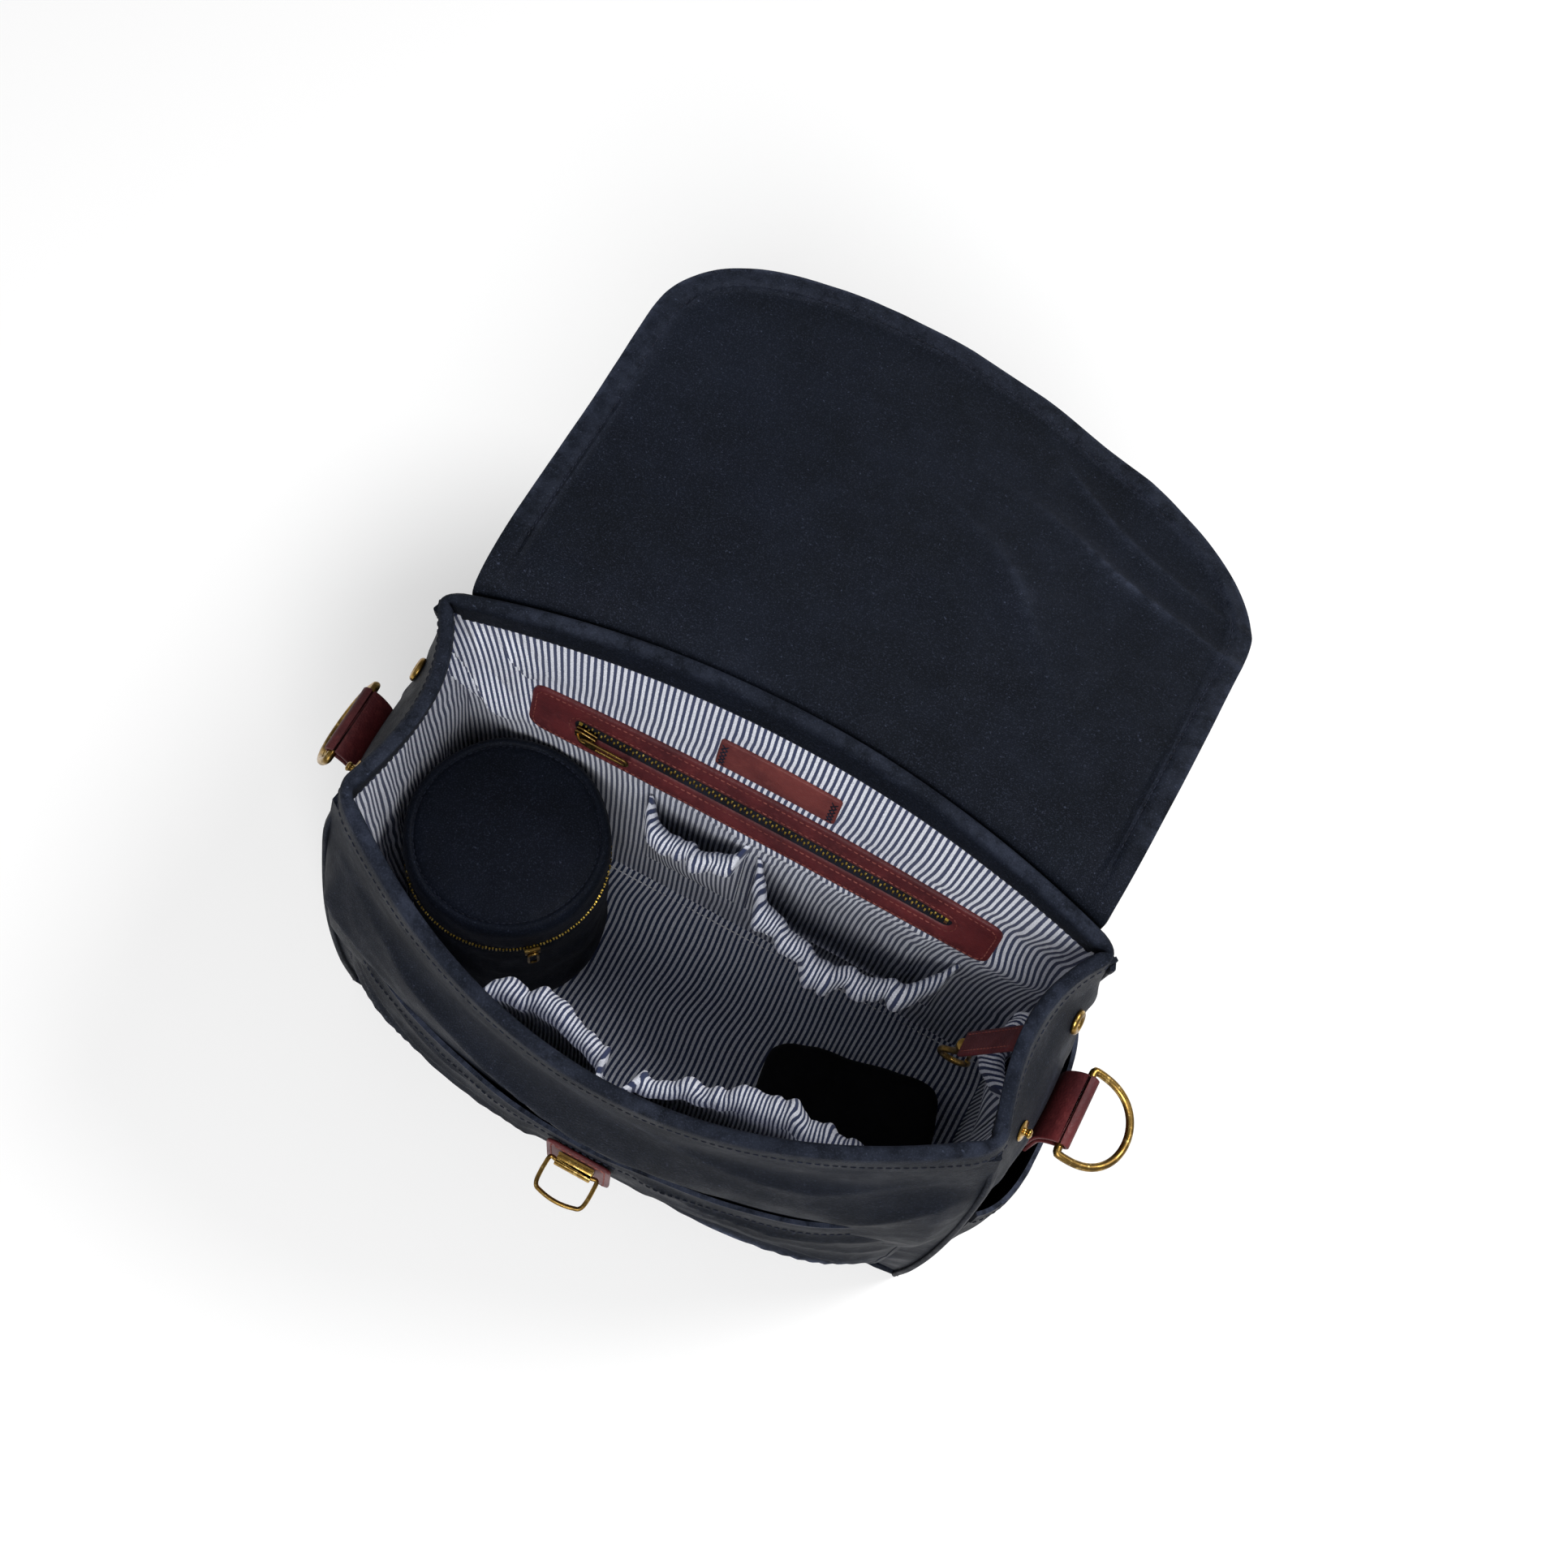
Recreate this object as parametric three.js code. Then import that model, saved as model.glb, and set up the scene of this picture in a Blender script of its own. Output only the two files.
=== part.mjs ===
// A canvas messenger bag, standing open, with its flap thrown back.
// Millimetres, +Z up, -Y is the front of the bag, and +X is on the right when it is seen from the front.
// The origin is the centre of the flat base.
import * as THREE from 'three';
import { mergeVertices } from 'three/addons/utils/BufferGeometryUtils.js';

// ---------------------------------------------------------------- driving dimensions
const RIM_FRONT = 280; // height of the mouth's edge at the front
const RIM_RISE = 8; // how much higher the mouth's edge is at the back
const FABRIC = 2.2; // canvas shell
const LINING = 1.2; // ticking lining
const LINING_GAP = 3.8; // from the shell's outside to the lining's outside
const CLEAR = 0.4; // air between neighbours
const CURVED_CLEAR = 1.0; // air between two faceted curved layers
const BAND_HEIGHT = 17; // the folded facing round the mouth
const BASE_THICKNESS = 2.4;
const BOARD_THICKNESS = 2.0;
const FLOOR = 6.6; // top of the lining's floor

const FLAP_HINGE_Y = 91;
const FLAP_HINGE_Z = 291;
const FLAP_SLOPE = 14; // degrees below level, behind the bag
const FLAP_LENGTH = 246;
const FLAP_FOLD = 202; // from the hinge to the fold over the front edge
const FLAP_HINGE_HALF_WIDTH = 162;
const FLAP_FLARE = 12;
const FLAP_THICKNESS = 2.4;

const RING_INSIDE = 38; // for a shoulder strap 38 wide
const RING_WIRE = 2; // radius
const RING_DEPTH = 30;
const RING_BAR = { x: 194, y: 4, z: 213 };
const RING_TILT = { right: 18, left: 66 }; // degrees that each ring hangs below level
const TAB_REACH = 12; // from the tab's back to the middle of the bar
const TAB_WIDTH = 36;
const TAB_THICKNESS = 4.2; // two layers of leather
const TAB_TAIL = 42; // how far the tab hangs below the bar
const TAB_BEND = 4.8; // radius of the leather round the bar
const RIVET_DROP = 33; // from the bar down to the rivets
const RIVET_HALF_SPACING = 9;

const ZIP_HEIGHT = 203; // of the inside zip
const ZIP_HALF = 104; // half the opening of the zip
const TRIM = { halfWidth: 128, halfHeight: 17, corner: 7, thickness: 1.6 };
const TEETH = { halfHeight: 2.4, thickness: 2.2 };
const ZIP_BAG = { halfWidth: 118, bottom: 70, thickness: 1.6 };
const LABEL = { halfWidth: 32, halfHeight: 11, z: 240, thickness: 1.6 };

const CASE = { x: -114, y: 9, radius: 53, bottom: 7, seam: 120, top: 150, wall: 3, hinge: -12 };
const POUCH = { x: 106, y: -9, length: 106, depth: 66, height: 36, turn: 12, corner: 12 };

const FRONT_BULGE = 13; // how far the front pocket stands off the bag
const LOOP = { z: 165, halfWidth: 12.5, depth: 16, wire: 1.1 };
const PATCH = { halfWidth: 17, halfHeight: 24, corner: 4, thickness: 2, drop: 10 };
const BRACKET = { half: 9.5, plate: 1.4, bar: 3.4, tube: 2.6 };
const KEY = { x: 151, y: 8, z: 260, length: 52, tilt: 18, width: 13 };

// ---------------------------------------------------------------- materials
const cloth = new THREE.MeshStandardMaterial({ color: 0x222a3a, roughness: 0.85, metalness: 0 });
const ticking = new THREE.MeshStandardMaterial({ color: 0xb9c0d2, roughness: 0.9, metalness: 0 });
const leather = new THREE.MeshStandardMaterial({ color: 0x4a2226, roughness: 0.5, metalness: 0 });
const brass = new THREE.MeshStandardMaterial({ color: 0x9a7433, roughness: 0.35, metalness: 1 });
const board = new THREE.MeshStandardMaterial({ color: 0x2b2b2b, roughness: 0.8, metalness: 0 });
const black = new THREE.MeshStandardMaterial({ color: 0x0b0b0d, roughness: 0.95, metalness: 0 });

const bag = new THREE.Group();

function add(name, geometry, material, parent = bag) {
  const mesh = new THREE.Mesh(geometry, material);
  mesh.name = name;
  parent.add(mesh);
  return mesh;
}

// ---------------------------------------------------------------- small maths
const vec = (x, y, z) => new THREE.Vector3(x, y, z);
const mix = THREE.MathUtils.lerp;
const clamp = THREE.MathUtils.clamp;
const radians = THREE.MathUtils.degToRad;

// A smooth curve through [height, value] pairs.
function profile(points) {
  const last = points.length - 1;
  return (x) => {
    let i = 0;
    while (i < last - 1 && x > points[i + 1][0]) i += 1;
    const [x0, y0] = points[i];
    const [x1, y1] = points[i + 1];
    const [xa, ya] = points[Math.max(i - 1, 0)];
    const [xb, yb] = points[Math.min(i + 2, last)];
    const t = clamp((x - x0) / (x1 - x0), 0, 1);
    const m0 = ((y1 - ya) / (x1 - xa)) * (x1 - x0);
    const m1 = ((yb - y0) / (xb - x0)) * (x1 - x0);
    const t2 = t * t;
    const t3 = t2 * t;
    return (2 * t3 - 3 * t2 + 1) * y0 + (t3 - 2 * t2 + t) * m0 + (3 * t2 - 2 * t3) * y1 + (t3 - t2) * m1;
  };
}

// ---------------------------------------------------------------- closed solids from rings of points
function solid(points, faces) {
  const geometry = new THREE.BufferGeometry();
  const numbers = points.flatMap((p) => [p.x, p.y, p.z]);
  geometry.setAttribute('position', new THREE.Float32BufferAttribute(numbers, 3));
  geometry.setIndex(volume(points, faces) < 0 ? faces.map(([a, b, c]) => [a, c, b]).flat() : faces.flat());
  const closed = mergeVertices(geometry, 1e-4);
  closed.computeVertexNormals();
  return closed;
}

function volume(points, faces) {
  const cross = new THREE.Vector3();
  return faces.reduce((sum, [a, b, c]) => sum + points[a].dot(cross.crossVectors(points[b], points[c])), 0);
}

// Joins rings of equal length one after another; the ends are capped, or the last joins the first.
function loft(rings, closed = false) {
  const size = rings[0].length;
  const points = rings.flat();
  const faces = [];
  const count = closed ? rings.length : rings.length - 1;
  for (let i = 0; i < count; i += 1) {
    const here = i * size;
    const next = ((i + 1) % rings.length) * size;
    for (let j = 0; j < size; j += 1) {
      const k = (j + 1) % size;
      faces.push([here + j, here + k, next + k], [here + j, next + k, next + j]);
    }
  }
  if (!closed) {
    const end = (rings.length - 1) * size;
    for (let j = 1; j < size - 1; j += 1) {
      faces.push([0, j + 1, j], [end, end + j, end + j + 1]);
    }
  }
  return solid(points, faces);
}

// A thick sheet: point(u, v, w) gives its two skins, w = 0 and w = 1.
function sheet(point, across, up) {
  const rings = [];
  for (let i = 0; i <= across; i += 1) {
    const ring = [];
    for (let j = 0; j <= up; j += 1) ring.push(point(i / across, j / up, 0));
    for (let j = up; j >= 0; j -= 1) ring.push(point(i / across, j / up, 1));
    rings.push(ring);
  }
  const size = 2 * (up + 1);
  const points = rings.flat();
  const faces = [];
  for (let i = 0; i < across; i += 1) {
    for (let j = 0; j < size; j += 1) {
      const k = (j + 1) % size;
      const here = i * size;
      const next = here + size;
      faces.push([here + j, here + k, next + k], [here + j, next + k, next + j]);
    }
  }
  for (const [start, flip] of [[0, false], [across * size, true]]) {
    for (let j = 0; j < up; j += 1) {
      const a = start + j;
      const b = start + j + 1;
      const c = start + size - 2 - j;
      const d = start + size - 1 - j;
      faces.push(flip ? [a, b, c] : [a, c, b], flip ? [a, c, d] : [a, d, c]);
    }
  }
  return solid(points, faces);
}

// A round wire along a closed path given as points, whose plane has the normal `flat`.
function wireLoop(path, radius, flat, sides = 8) {
  const rings = path.map((point, i) => {
    const before = path[(i + path.length - 1) % path.length];
    const after = path[(i + 1) % path.length];
    const along = after.clone().sub(before).normalize();
    const out = along.clone().cross(flat).normalize();
    return Array.from({ length: sides }, (_, j) => {
      const angle = (2 * Math.PI * j) / sides;
      const start = point.clone().addScaledVector(out, radius * Math.cos(angle));
      return start.addScaledVector(flat, radius * Math.sin(angle));
    });
  });
  return loft(rings, true);
}

function block(width, depth, height) {
  return new THREE.BoxGeometry(width, depth, height);
}

// An upright plate with an outline in its own x and y.
function plate(shape, thickness, curveSegments = 8) {
  return new THREE.ExtrudeGeometry(shape, { depth: thickness, bevelEnabled: false, curveSegments });
}

function roundedRectangle(halfX, halfY, corner, Kind = THREE.Shape) {
  const shape = new Kind();
  shape.moveTo(-halfX + corner, -halfY);
  shape.lineTo(halfX - corner, -halfY);
  shape.absarc(halfX - corner, -halfY + corner, corner, -Math.PI / 2, 0);
  shape.lineTo(halfX, halfY - corner);
  shape.absarc(halfX - corner, halfY - corner, corner, 0, Math.PI / 2);
  shape.lineTo(-halfX + corner, halfY);
  shape.absarc(-halfX + corner, halfY - corner, corner, Math.PI / 2, Math.PI);
  shape.lineTo(-halfX, -halfY + corner);
  shape.absarc(-halfX + corner, -halfY + corner, corner, Math.PI, 1.5 * Math.PI);
  return shape;
}

function turned(profilePoints, segments = 20) {
  return new THREE.LatheGeometry(profilePoints.map(([r, z]) => new THREE.Vector2(r, z)), segments);
}

// ---------------------------------------------------------------- the bag's walls
// Every wall is a curve in plan at each height: two corners and a middle that bulges out or folds in.
const frontCornerX = profile([[0, 172], [120, 174], [220, 171], [280, 165]]);
const frontCornerY = profile([[0, 66], [60, 68], [140, 64], [220, 54], [280, 45]]);
const backCornerX = profile([[0, 172], [120, 174], [220, 175], [288, 174]]);
const backCornerY = profile([[0, 66], [50, 70], [140, 70], [200, 65], [288, 56]]);
const frontMiddle = profile([[0, 68], [40, 84], [90, 93], [140, 98], [200, 102.5], [280, 106]]);
const backMiddle = profile([[0, 68], [60, 74], [140, 74], [200, 71], [240, 77], [288, 87]]);
const gussetPoints = [[0, 172], [60, 177], [140, 179], [190, 181], [215, 180], [240, 172], [262, 160], [282, 154]];
const gussetMiddle = profile(gussetPoints);
const frontLiningMiddle = profile([[0, 63], [60, 66], [120, 75], [200, 90], [250, 98.5], [280, 102.5]]);
const backLiningMiddle = profile([[0, 65.5], [50, 67], [140, 67], [200, 64], [240, 71], [288, 83.5]]);

const arch = (s) => 1 - s * s;

const wall = {
  front: (s, z) => [frontCornerX(z) * s, -mix(frontCornerY(z), frontMiddle(z), arch(s))],
  back: (s, z) => [-backCornerX(z) * s, mix(backCornerY(z), backMiddle(z), arch(s))],
  right: (s, z) => {
    const t = (s + 1) / 2;
    const corners = mix(frontCornerX(z), backCornerX(z), t);
    return [mix(corners, gussetMiddle(z), arch(s)), mix(-frontCornerY(z), backCornerY(z), t)];
  },
  left: (s, z) => {
    const [x, y] = wall.right(-s, z);
    return [-x, y];
  },
  frontLining: (s, z) => [
    (frontCornerX(z) - LINING_GAP) * s,
    -mix(frontCornerY(z) - LINING_GAP, frontLiningMiddle(z), arch(s)),
  ],
  backLining: (s, z) => [
    -(backCornerX(z) - LINING_GAP) * s,
    mix(backCornerY(z) - LINING_GAP, backLiningMiddle(z), arch(s)),
  ],
};

function rimHeight(y) {
  const t = clamp((y + 106) / 190, 0, 1);
  return RIM_FRONT + RIM_RISE * t * t * (3 - 2 * t);
}

// A point on a wall; inward moves it towards the inside of the bag, square to the wall in plan.
function onWall(side, s, z, inward = 0) {
  const step = 0.02;
  const [x, y] = wall[side](s, z);
  const [xa, ya] = wall[side](s - step, z);
  const [xb, yb] = wall[side](s + step, z);
  const length = Math.hypot(xb - xa, yb - ya);
  return vec(x - ((yb - ya) / length) * inward, y + ((xb - xa) / length) * inward, z);
}

// A panel of a wall between two places along it and two heights; depth(s, z, w) is how far in it lies.
function panel(side, [s0, s1], [z0, z1], depth, across, up) {
  return sheet(
    (u, v, w) => {
      const s = mix(s0, s1, u);
      const top = typeof z1 === 'function' ? z1(wall[side](s, RIM_FRONT)[1]) : z1;
      const z = mix(z0, top, v);
      return onWall(side, s, z, depth(s, z, w));
    },
    across,
    up,
  );
}

const layer = (outside, thickness) => (s, z, w) => outside + thickness * w;
const underBand = (y) => rimHeight(y) - BAND_HEIGHT - CLEAR;
const shellBottom = BASE_THICKNESS + CLEAR;

const shell = layer(0, FABRIC);
const shellHeights = [shellBottom, underBand];
const shellSpan = [-0.99, 0.99];
const gussetSpan = [-0.91, 0.91];
add('outer_front_panel', panel('front', shellSpan, shellHeights, shell, 16, 8), cloth);
add('outer_back_panel', panel('back', shellSpan, shellHeights, shell, 16, 8), cloth);
add('outer_gusset_left', panel('left', gussetSpan, shellHeights, shell, 8, 14), cloth);
add('outer_gusset_right', panel('right', gussetSpan, shellHeights, shell, 8, 14), cloth);

const liningBottom = FLOOR + CLEAR;
const onLining = layer(0, LINING);
const liningSpan = [-0.965, 0.965];
const gussetLiningSpan = [-0.84, 0.84];
add('lining_front', panel('frontLining', liningSpan, [liningBottom, underBand], onLining, 16, 8), ticking);
add('lining_back', panel('backLining', liningSpan, [liningBottom, underBand], onLining, 16, 8), ticking);
const gussetLining = layer(LINING_GAP, LINING);
const gussetLiningHeights = [liningBottom, underBand];
for (const side of ['left', 'right']) {
  const cover = panel(side, gussetLiningSpan, gussetLiningHeights, gussetLining, 8, 14);
  add(`lining_gusset_${side}`, cover, ticking);
}

// ---------------------------------------------------------------- base
// The outline of the walls at the floor, drawn in by `inset`.
function planOutline(z, inset) {
  const shape = new THREE.Shape();
  const steps = 8;
  const points = [];
  for (const side of ['front', 'right', 'back', 'left']) {
    for (let i = 1; i < steps; i += 1) {
      points.push(onWall(side, mix(-1, 1, i / steps), z, inset));
    }
  }
  shape.moveTo(points[0].x, points[0].y);
  points.slice(1).forEach((p) => shape.lineTo(p.x, p.y));
  return shape;
}

add('outer_base_panel', plate(planOutline(0, 0), BASE_THICKNESS), cloth);
const baseBoard = add('base_board', plate(planOutline(0, 5), BOARD_THICKNESS), board);
baseBoard.position.z = BASE_THICKNESS + CLEAR;
const liningBase = add('lining_base', plate(planOutline(0, 5.2), LINING), ticking);
liningBase.position.z = FLOOR - LINING;

// ---------------------------------------------------------------- folded band round the mouth
function rimBand() {
  const sides = { front: 14, right: 8, back: 14, left: 8 };
  const stations = [];
  for (const [side, steps] of Object.entries(sides)) {
    const edge = side === 'front' || side === 'back' ? 0.97 : 0.94;
    for (let i = 0; i <= steps; i += 1) stations.push([side, mix(-edge, edge, i / steps)]);
  }
  const rings = stations.map(([side, s]) => {
    const top = rimHeight(wall[side](s, RIM_FRONT)[1]);
    const bottom = top - BAND_HEIGHT;
    const outer = -0.3;
    const inner = LINING_GAP + LINING + 0.3;
    return [
      onWall(side, s, bottom, outer),
      onWall(side, s, top - 1.2, outer),
      onWall(side, s, top, mix(outer, inner, 0.5)),
      onWall(side, s, top - 1.2, inner),
      onWall(side, s, bottom, inner),
    ];
  });
  return loft(rings, true);
}
add('rim_binding', rimBand(), cloth);

// ---------------------------------------------------------------- pockets
// A pocket is one layer standing off its wall: sewn down at its sides and bottom, open at the top.
function pocket(side, span, heights, bulge, thickness, resting, inside, grid, fullness = 3) {
  const [s0, s1] = span;
  const [z0, z1] = heights;
  const depth = (s, z, w) => {
    const u = clamp((s - s0) / (s1 - s0), 0, 1);
    const v = clamp((z - z0) / (z1 - z0), 0, 1);
    const across = 1 - Math.abs(2 * u - 1) ** fullness;
    const up = Math.sin((Math.PI / 2) * Math.min(v * 1.25, 1));
    const near = resting + bulge * across * up;
    return inside ? near + thickness * w : -(near + thickness * w);
  };
  return panel(side, span, heights, depth, ...grid);
}

const outside = (side, span, heights, bulge, grid, fullness) =>
  pocket(side, span, heights, bulge, FABRIC, CURVED_CLEAR, false, grid, fullness);
const sideSpan = [-0.86, 0.86];
add('front_pocket', outside('front', [-0.9, 0.9], [14, 190], FRONT_BULGE, [18, 7], 5), cloth);
add('side_pocket_left', outside('left', sideSpan, [12, 170], 9, [10, 7]), cloth);
add('side_pocket_right', outside('right', sideSpan, [12, 170], 14, [10, 7]), cloth);

const onTicking = LINING + CURVED_CLEAR;
const elastic = (side, span, heights, bulge, rest) =>
  pocket(side, span, heights, bulge, LINING, rest, true, [10, 6]);
add('pocket_back_left', elastic('backLining', [0.02, 0.35], [52, 158], 16, onTicking), ticking);
add('pocket_back_right', elastic('backLining', [-0.7, -0.02], [52, 150], 28, onTicking), ticking);
add('pocket_front_left', elastic('frontLining', [-0.5, -0.07], [70, 160], 12, onTicking), ticking);
add('pocket_front_right', elastic('frontLining', [0.01, 0.75], [62, 168], 14, onTicking), ticking);
add('pocket_gusset_right', elastic('right', [0.1, 0.78], [60, 165], 12, LINING_GAP + onTicking), ticking);

// ---------------------------------------------------------------- inside zip on the back wall
// x runs along the wall and z up it; `lift` is how far it stands in front of the lining.
function onBackLining(x, z, lift) {
  return onWall('backLining', -x / (backCornerX(z) - LINING_GAP), z, LINING + lift);
}

function zipTrim() {
  const outer = roundedRectangle(TRIM.halfWidth, TRIM.halfHeight, TRIM.corner).getPoints(5);
  const inner = roundedRectangle(ZIP_HALF, 4.6, 4.5).getPoints(5);
  const rings = [];
  const count = 56;
  const outerPath = new THREE.CatmullRomCurve3(outer.map((p) => vec(p.x, p.y, 0)), true, 'chordal');
  const innerPath = new THREE.CatmullRomCurve3(inner.map((p) => vec(p.x, p.y, 0)), true, 'chordal');
  for (let i = 0; i < count; i += 1) {
    const a = outerPath.getPointAt(i / count);
    const b = innerPath.getPointAt(i / count);
    rings.push([
      onBackLining(a.x, ZIP_HEIGHT + a.y, CLEAR),
      onBackLining(a.x, ZIP_HEIGHT + a.y, CLEAR + TRIM.thickness),
      onBackLining(b.x, ZIP_HEIGHT + b.y, CLEAR + TRIM.thickness),
      onBackLining(b.x, ZIP_HEIGHT + b.y, CLEAR),
    ]);
  }
  return loft(rings, true);
}
add('zip_trim', zipTrim(), leather);

function onLiningStrip(halfX, halfZ, zMiddle, thickness, across) {
  return sheet(
    (u, v, w) => onBackLining(mix(-halfX, halfX, u), zMiddle + mix(-halfZ, halfZ, v), CLEAR + thickness * w),
    across,
    1,
  );
}
add('zip_teeth', onLiningStrip(ZIP_HALF - 5, TEETH.halfHeight, ZIP_HEIGHT, TEETH.thickness, 20), brass);
add('leather_label', onLiningStrip(LABEL.halfWidth, LABEL.halfHeight, LABEL.z, LABEL.thickness, 6), leather);

// The zip's own pocket hangs behind the lining.
function zipPocketBag() {
  return sheet(
    (u, v, w) => {
      const x = mix(-ZIP_BAG.halfWidth, ZIP_BAG.halfWidth, u);
      const z = mix(ZIP_BAG.bottom, ZIP_HEIGHT + 2, v);
      const s = -x / (backCornerX(z) - LINING_GAP);
      return onWall('backLining', s, z, -CURVED_CLEAR - ZIP_BAG.thickness * w);
    },
    10,
    6,
  );
}
add('zip_pocket_bag', zipPocketBag(), ticking);

const sliderX = -96;
const sliderPoint = onBackLining(sliderX, ZIP_HEIGHT, CLEAR + TEETH.thickness + CLEAR);
const slider = new THREE.Group();
slider.position.copy(sliderPoint);
bag.add(slider);
const sliderBody = add('zip_slider', block(12, 3.2, 8.5), brass, slider);
sliderBody.position.y = -2.2;

// The pull turns about an upright pin on the slider and lies along the zip.
const PULL = { length: 27, half: 3.8, thickness: 1.4, pin: -5.6 };
function pullPlate() {
  const half = PULL.length / 2;
  const shape = roundedRectangle(half, PULL.half, 2);
  shape.holes.push(roundedRectangle(half - 4.5, 1.7, 1.4, THREE.Path));
  return plate(shape, PULL.thickness, 3);
}
const pull = add('zip_puller', pullPlate(), brass, slider);
pull.rotation.x = Math.PI / 2;
pull.position.set(PULL.length / 2 - 1.5, PULL.pin + PULL.thickness / 2, 0);

// ---------------------------------------------------------------- D-rings and their leather tabs
function tabSection() {
  const shape = new THREE.Shape();
  shape.moveTo(0, -TAB_TAIL);
  shape.lineTo(TAB_THICKNESS, -TAB_TAIL);
  shape.lineTo(TAB_THICKNESS, -9);
  shape.absarc(TAB_REACH, 0, TAB_BEND, radians(-60), radians(150));
  shape.lineTo(0, -6);
  shape.holes.push(new THREE.Path().absarc(TAB_REACH, 0, RING_WIRE + 0.5, 0, 2 * Math.PI));
  return shape;
}

function ringPath() {
  const half = RING_INSIDE / 2 + RING_WIRE;
  const path = [];
  const bar = 6;
  for (let i = 0; i <= bar; i += 1) path.push(vec(0, mix(half, -half, i / bar), 0));
  const bow = 14;
  for (let i = 0; i <= bow; i += 1) {
    const angle = mix(-Math.PI / 2, Math.PI / 2, i / bow);
    const reach = 2.5 + (RING_DEPTH - 2.5) * Math.cos(angle) ** 0.8;
    path.push(vec(reach, (half + 1) * Math.sin(angle), 0));
  }
  return path;
}

function strapRing(name) {
  const tab = add(`dring_tab_${name}`, plate(tabSection(), TAB_WIDTH, 8), leather);
  tab.rotation.x = Math.PI / 2;
  tab.position.set(RING_BAR.x - TAB_REACH, RING_BAR.y + TAB_WIDTH / 2, RING_BAR.z);
  const ring = add(`dring_${name}`, wireLoop(ringPath(), RING_WIRE, vec(0, 0, 1), 8), brass);
  ring.rotation.y = radians(RING_TILT[name]);
  ring.position.set(RING_BAR.x, RING_BAR.y, RING_BAR.z);
  if (name === 'left') {
    for (const piece of [tab, ring]) mirror(piece);
  }
}

// Reflects a placed piece in the plane x = 0.
function mirror(mesh) {
  mesh.updateMatrix();
  const geometry = mesh.geometry.clone().applyMatrix4(mesh.matrix);
  geometry.applyMatrix4(new THREE.Matrix4().makeScale(-1, 1, 1));
  const flat = geometry.index ? geometry.toNonIndexed() : geometry;
  const position = flat.getAttribute('position');
  const corner = (_, i) => new THREE.Vector3().fromBufferAttribute(position, i);
  const points = Array.from({ length: position.count }, corner);
  const faces = Array.from({ length: position.count / 3 }, (_, i) => [3 * i, 3 * i + 1, 3 * i + 2]);
  mesh.geometry = solid(points, faces);
  mesh.position.set(0, 0, 0);
  mesh.rotation.set(0, 0, 0);
}

strapRing('right');
strapRing('left');

const rivetHead = [[0, 0], [3.6, 0], [3.6, 0.7], [2.4, 1.5], [0, 1.7]];
function tabRivet(name, y) {
  const rivet = turned(rivetHead, 12);
  rivet.rotateZ(-Math.PI / 2);
  rivet.translate(RING_BAR.x - TAB_REACH + TAB_THICKNESS + CLEAR, 0, RING_BAR.z - RIVET_DROP);
  if (name === 'left') rivet.rotateZ(Math.PI);
  rivet.translate(0, RING_BAR.y + y, 0);
  return rivet;
}
for (const name of ['right', 'left']) {
  add(`tab_rivet_${name}_1`, tabRivet(name, -RIVET_HALF_SPACING), brass);
  add(`tab_rivet_${name}_2`, tabRivet(name, RIVET_HALF_SPACING), brass);
}

// ---------------------------------------------------------------- snap fasteners on the gussets
function faceOut(side, s, z, lift) {
  const here = onWall(side, s, z, -lift);
  const up = onWall(side, s, z + 4, -lift).sub(onWall(side, s, z - 4, -lift));
  const along = onWall(side, s + 0.05, z, -lift).sub(onWall(side, s - 0.05, z, -lift));
  const normal = along.cross(up).normalize();
  return { here, turn: new THREE.Quaternion().setFromUnitVectors(vec(0, 1, 0), normal) };
}

const socketProfile = [[2.2, 0], [6.2, 0], [6.2, 1.2], [5.2, 2.6], [3.4, 2.6], [2.2, 1.6], [2.2, 0]];
const studProfile = [[0, 0], [5.2, 0], [5.2, 0.9], [2, 1.3], [1.7, 2.4], [2.3, 3.4], [1.6, 4.6], [0, 5]];
const SNAP_HEIGHT = 240;
const SNAP_LIFT = 1.4;
const snaps = { snap_socket: [0.52, socketProfile], snap_stud: [-0.5, studProfile] };
for (const [side, flip] of [['right', 1], ['left', -1]]) {
  for (const [kind, [s, outline]] of Object.entries(snaps)) {
    const { here, turn } = faceOut(side, s * flip, SNAP_HEIGHT, SNAP_LIFT);
    const snap = add(`${kind}_${side}`, turned(outline, 16), brass);
    snap.quaternion.copy(turn);
    snap.position.copy(here);
  }
}

// ---------------------------------------------------------------- closure loop on the front pocket
const patchY = -(frontMiddle(LOOP.z + 14) + CURVED_CLEAR + FRONT_BULGE + FABRIC + CLEAR);
const patchOutline = roundedRectangle(PATCH.halfWidth, PATCH.halfHeight, PATCH.corner);
const patch = add('closure_patch', plate(patchOutline, PATCH.thickness), leather);
patch.rotation.x = Math.PI / 2;
patch.position.set(0, patchY, LOOP.z - PATCH.drop);
const bracketY = patchY - PATCH.thickness - CLEAR;

function bracketSection() {
  const shape = new THREE.Shape();
  shape.moveTo(0, -9);
  shape.lineTo(BRACKET.plate, -9);
  shape.lineTo(BRACKET.plate, -3.2);
  shape.absarc(BRACKET.bar, 0, BRACKET.tube, radians(-100), radians(100));
  shape.lineTo(BRACKET.plate, 6);
  shape.lineTo(0, 6);
  shape.holes.push(new THREE.Path().absarc(BRACKET.bar, 0, LOOP.wire + CLEAR, 0, 2 * Math.PI));
  return shape;
}
const bracket = add('closure_bracket', plate(bracketSection(), 2 * BRACKET.half, 8), brass);
bracket.quaternion.setFromRotationMatrix(new THREE.Matrix4().makeBasis(vec(0, -1, 0), vec(0, 0, 1), vec(-1, 0, 0)));
bracket.position.set(BRACKET.half, bracketY, LOOP.z);

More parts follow.
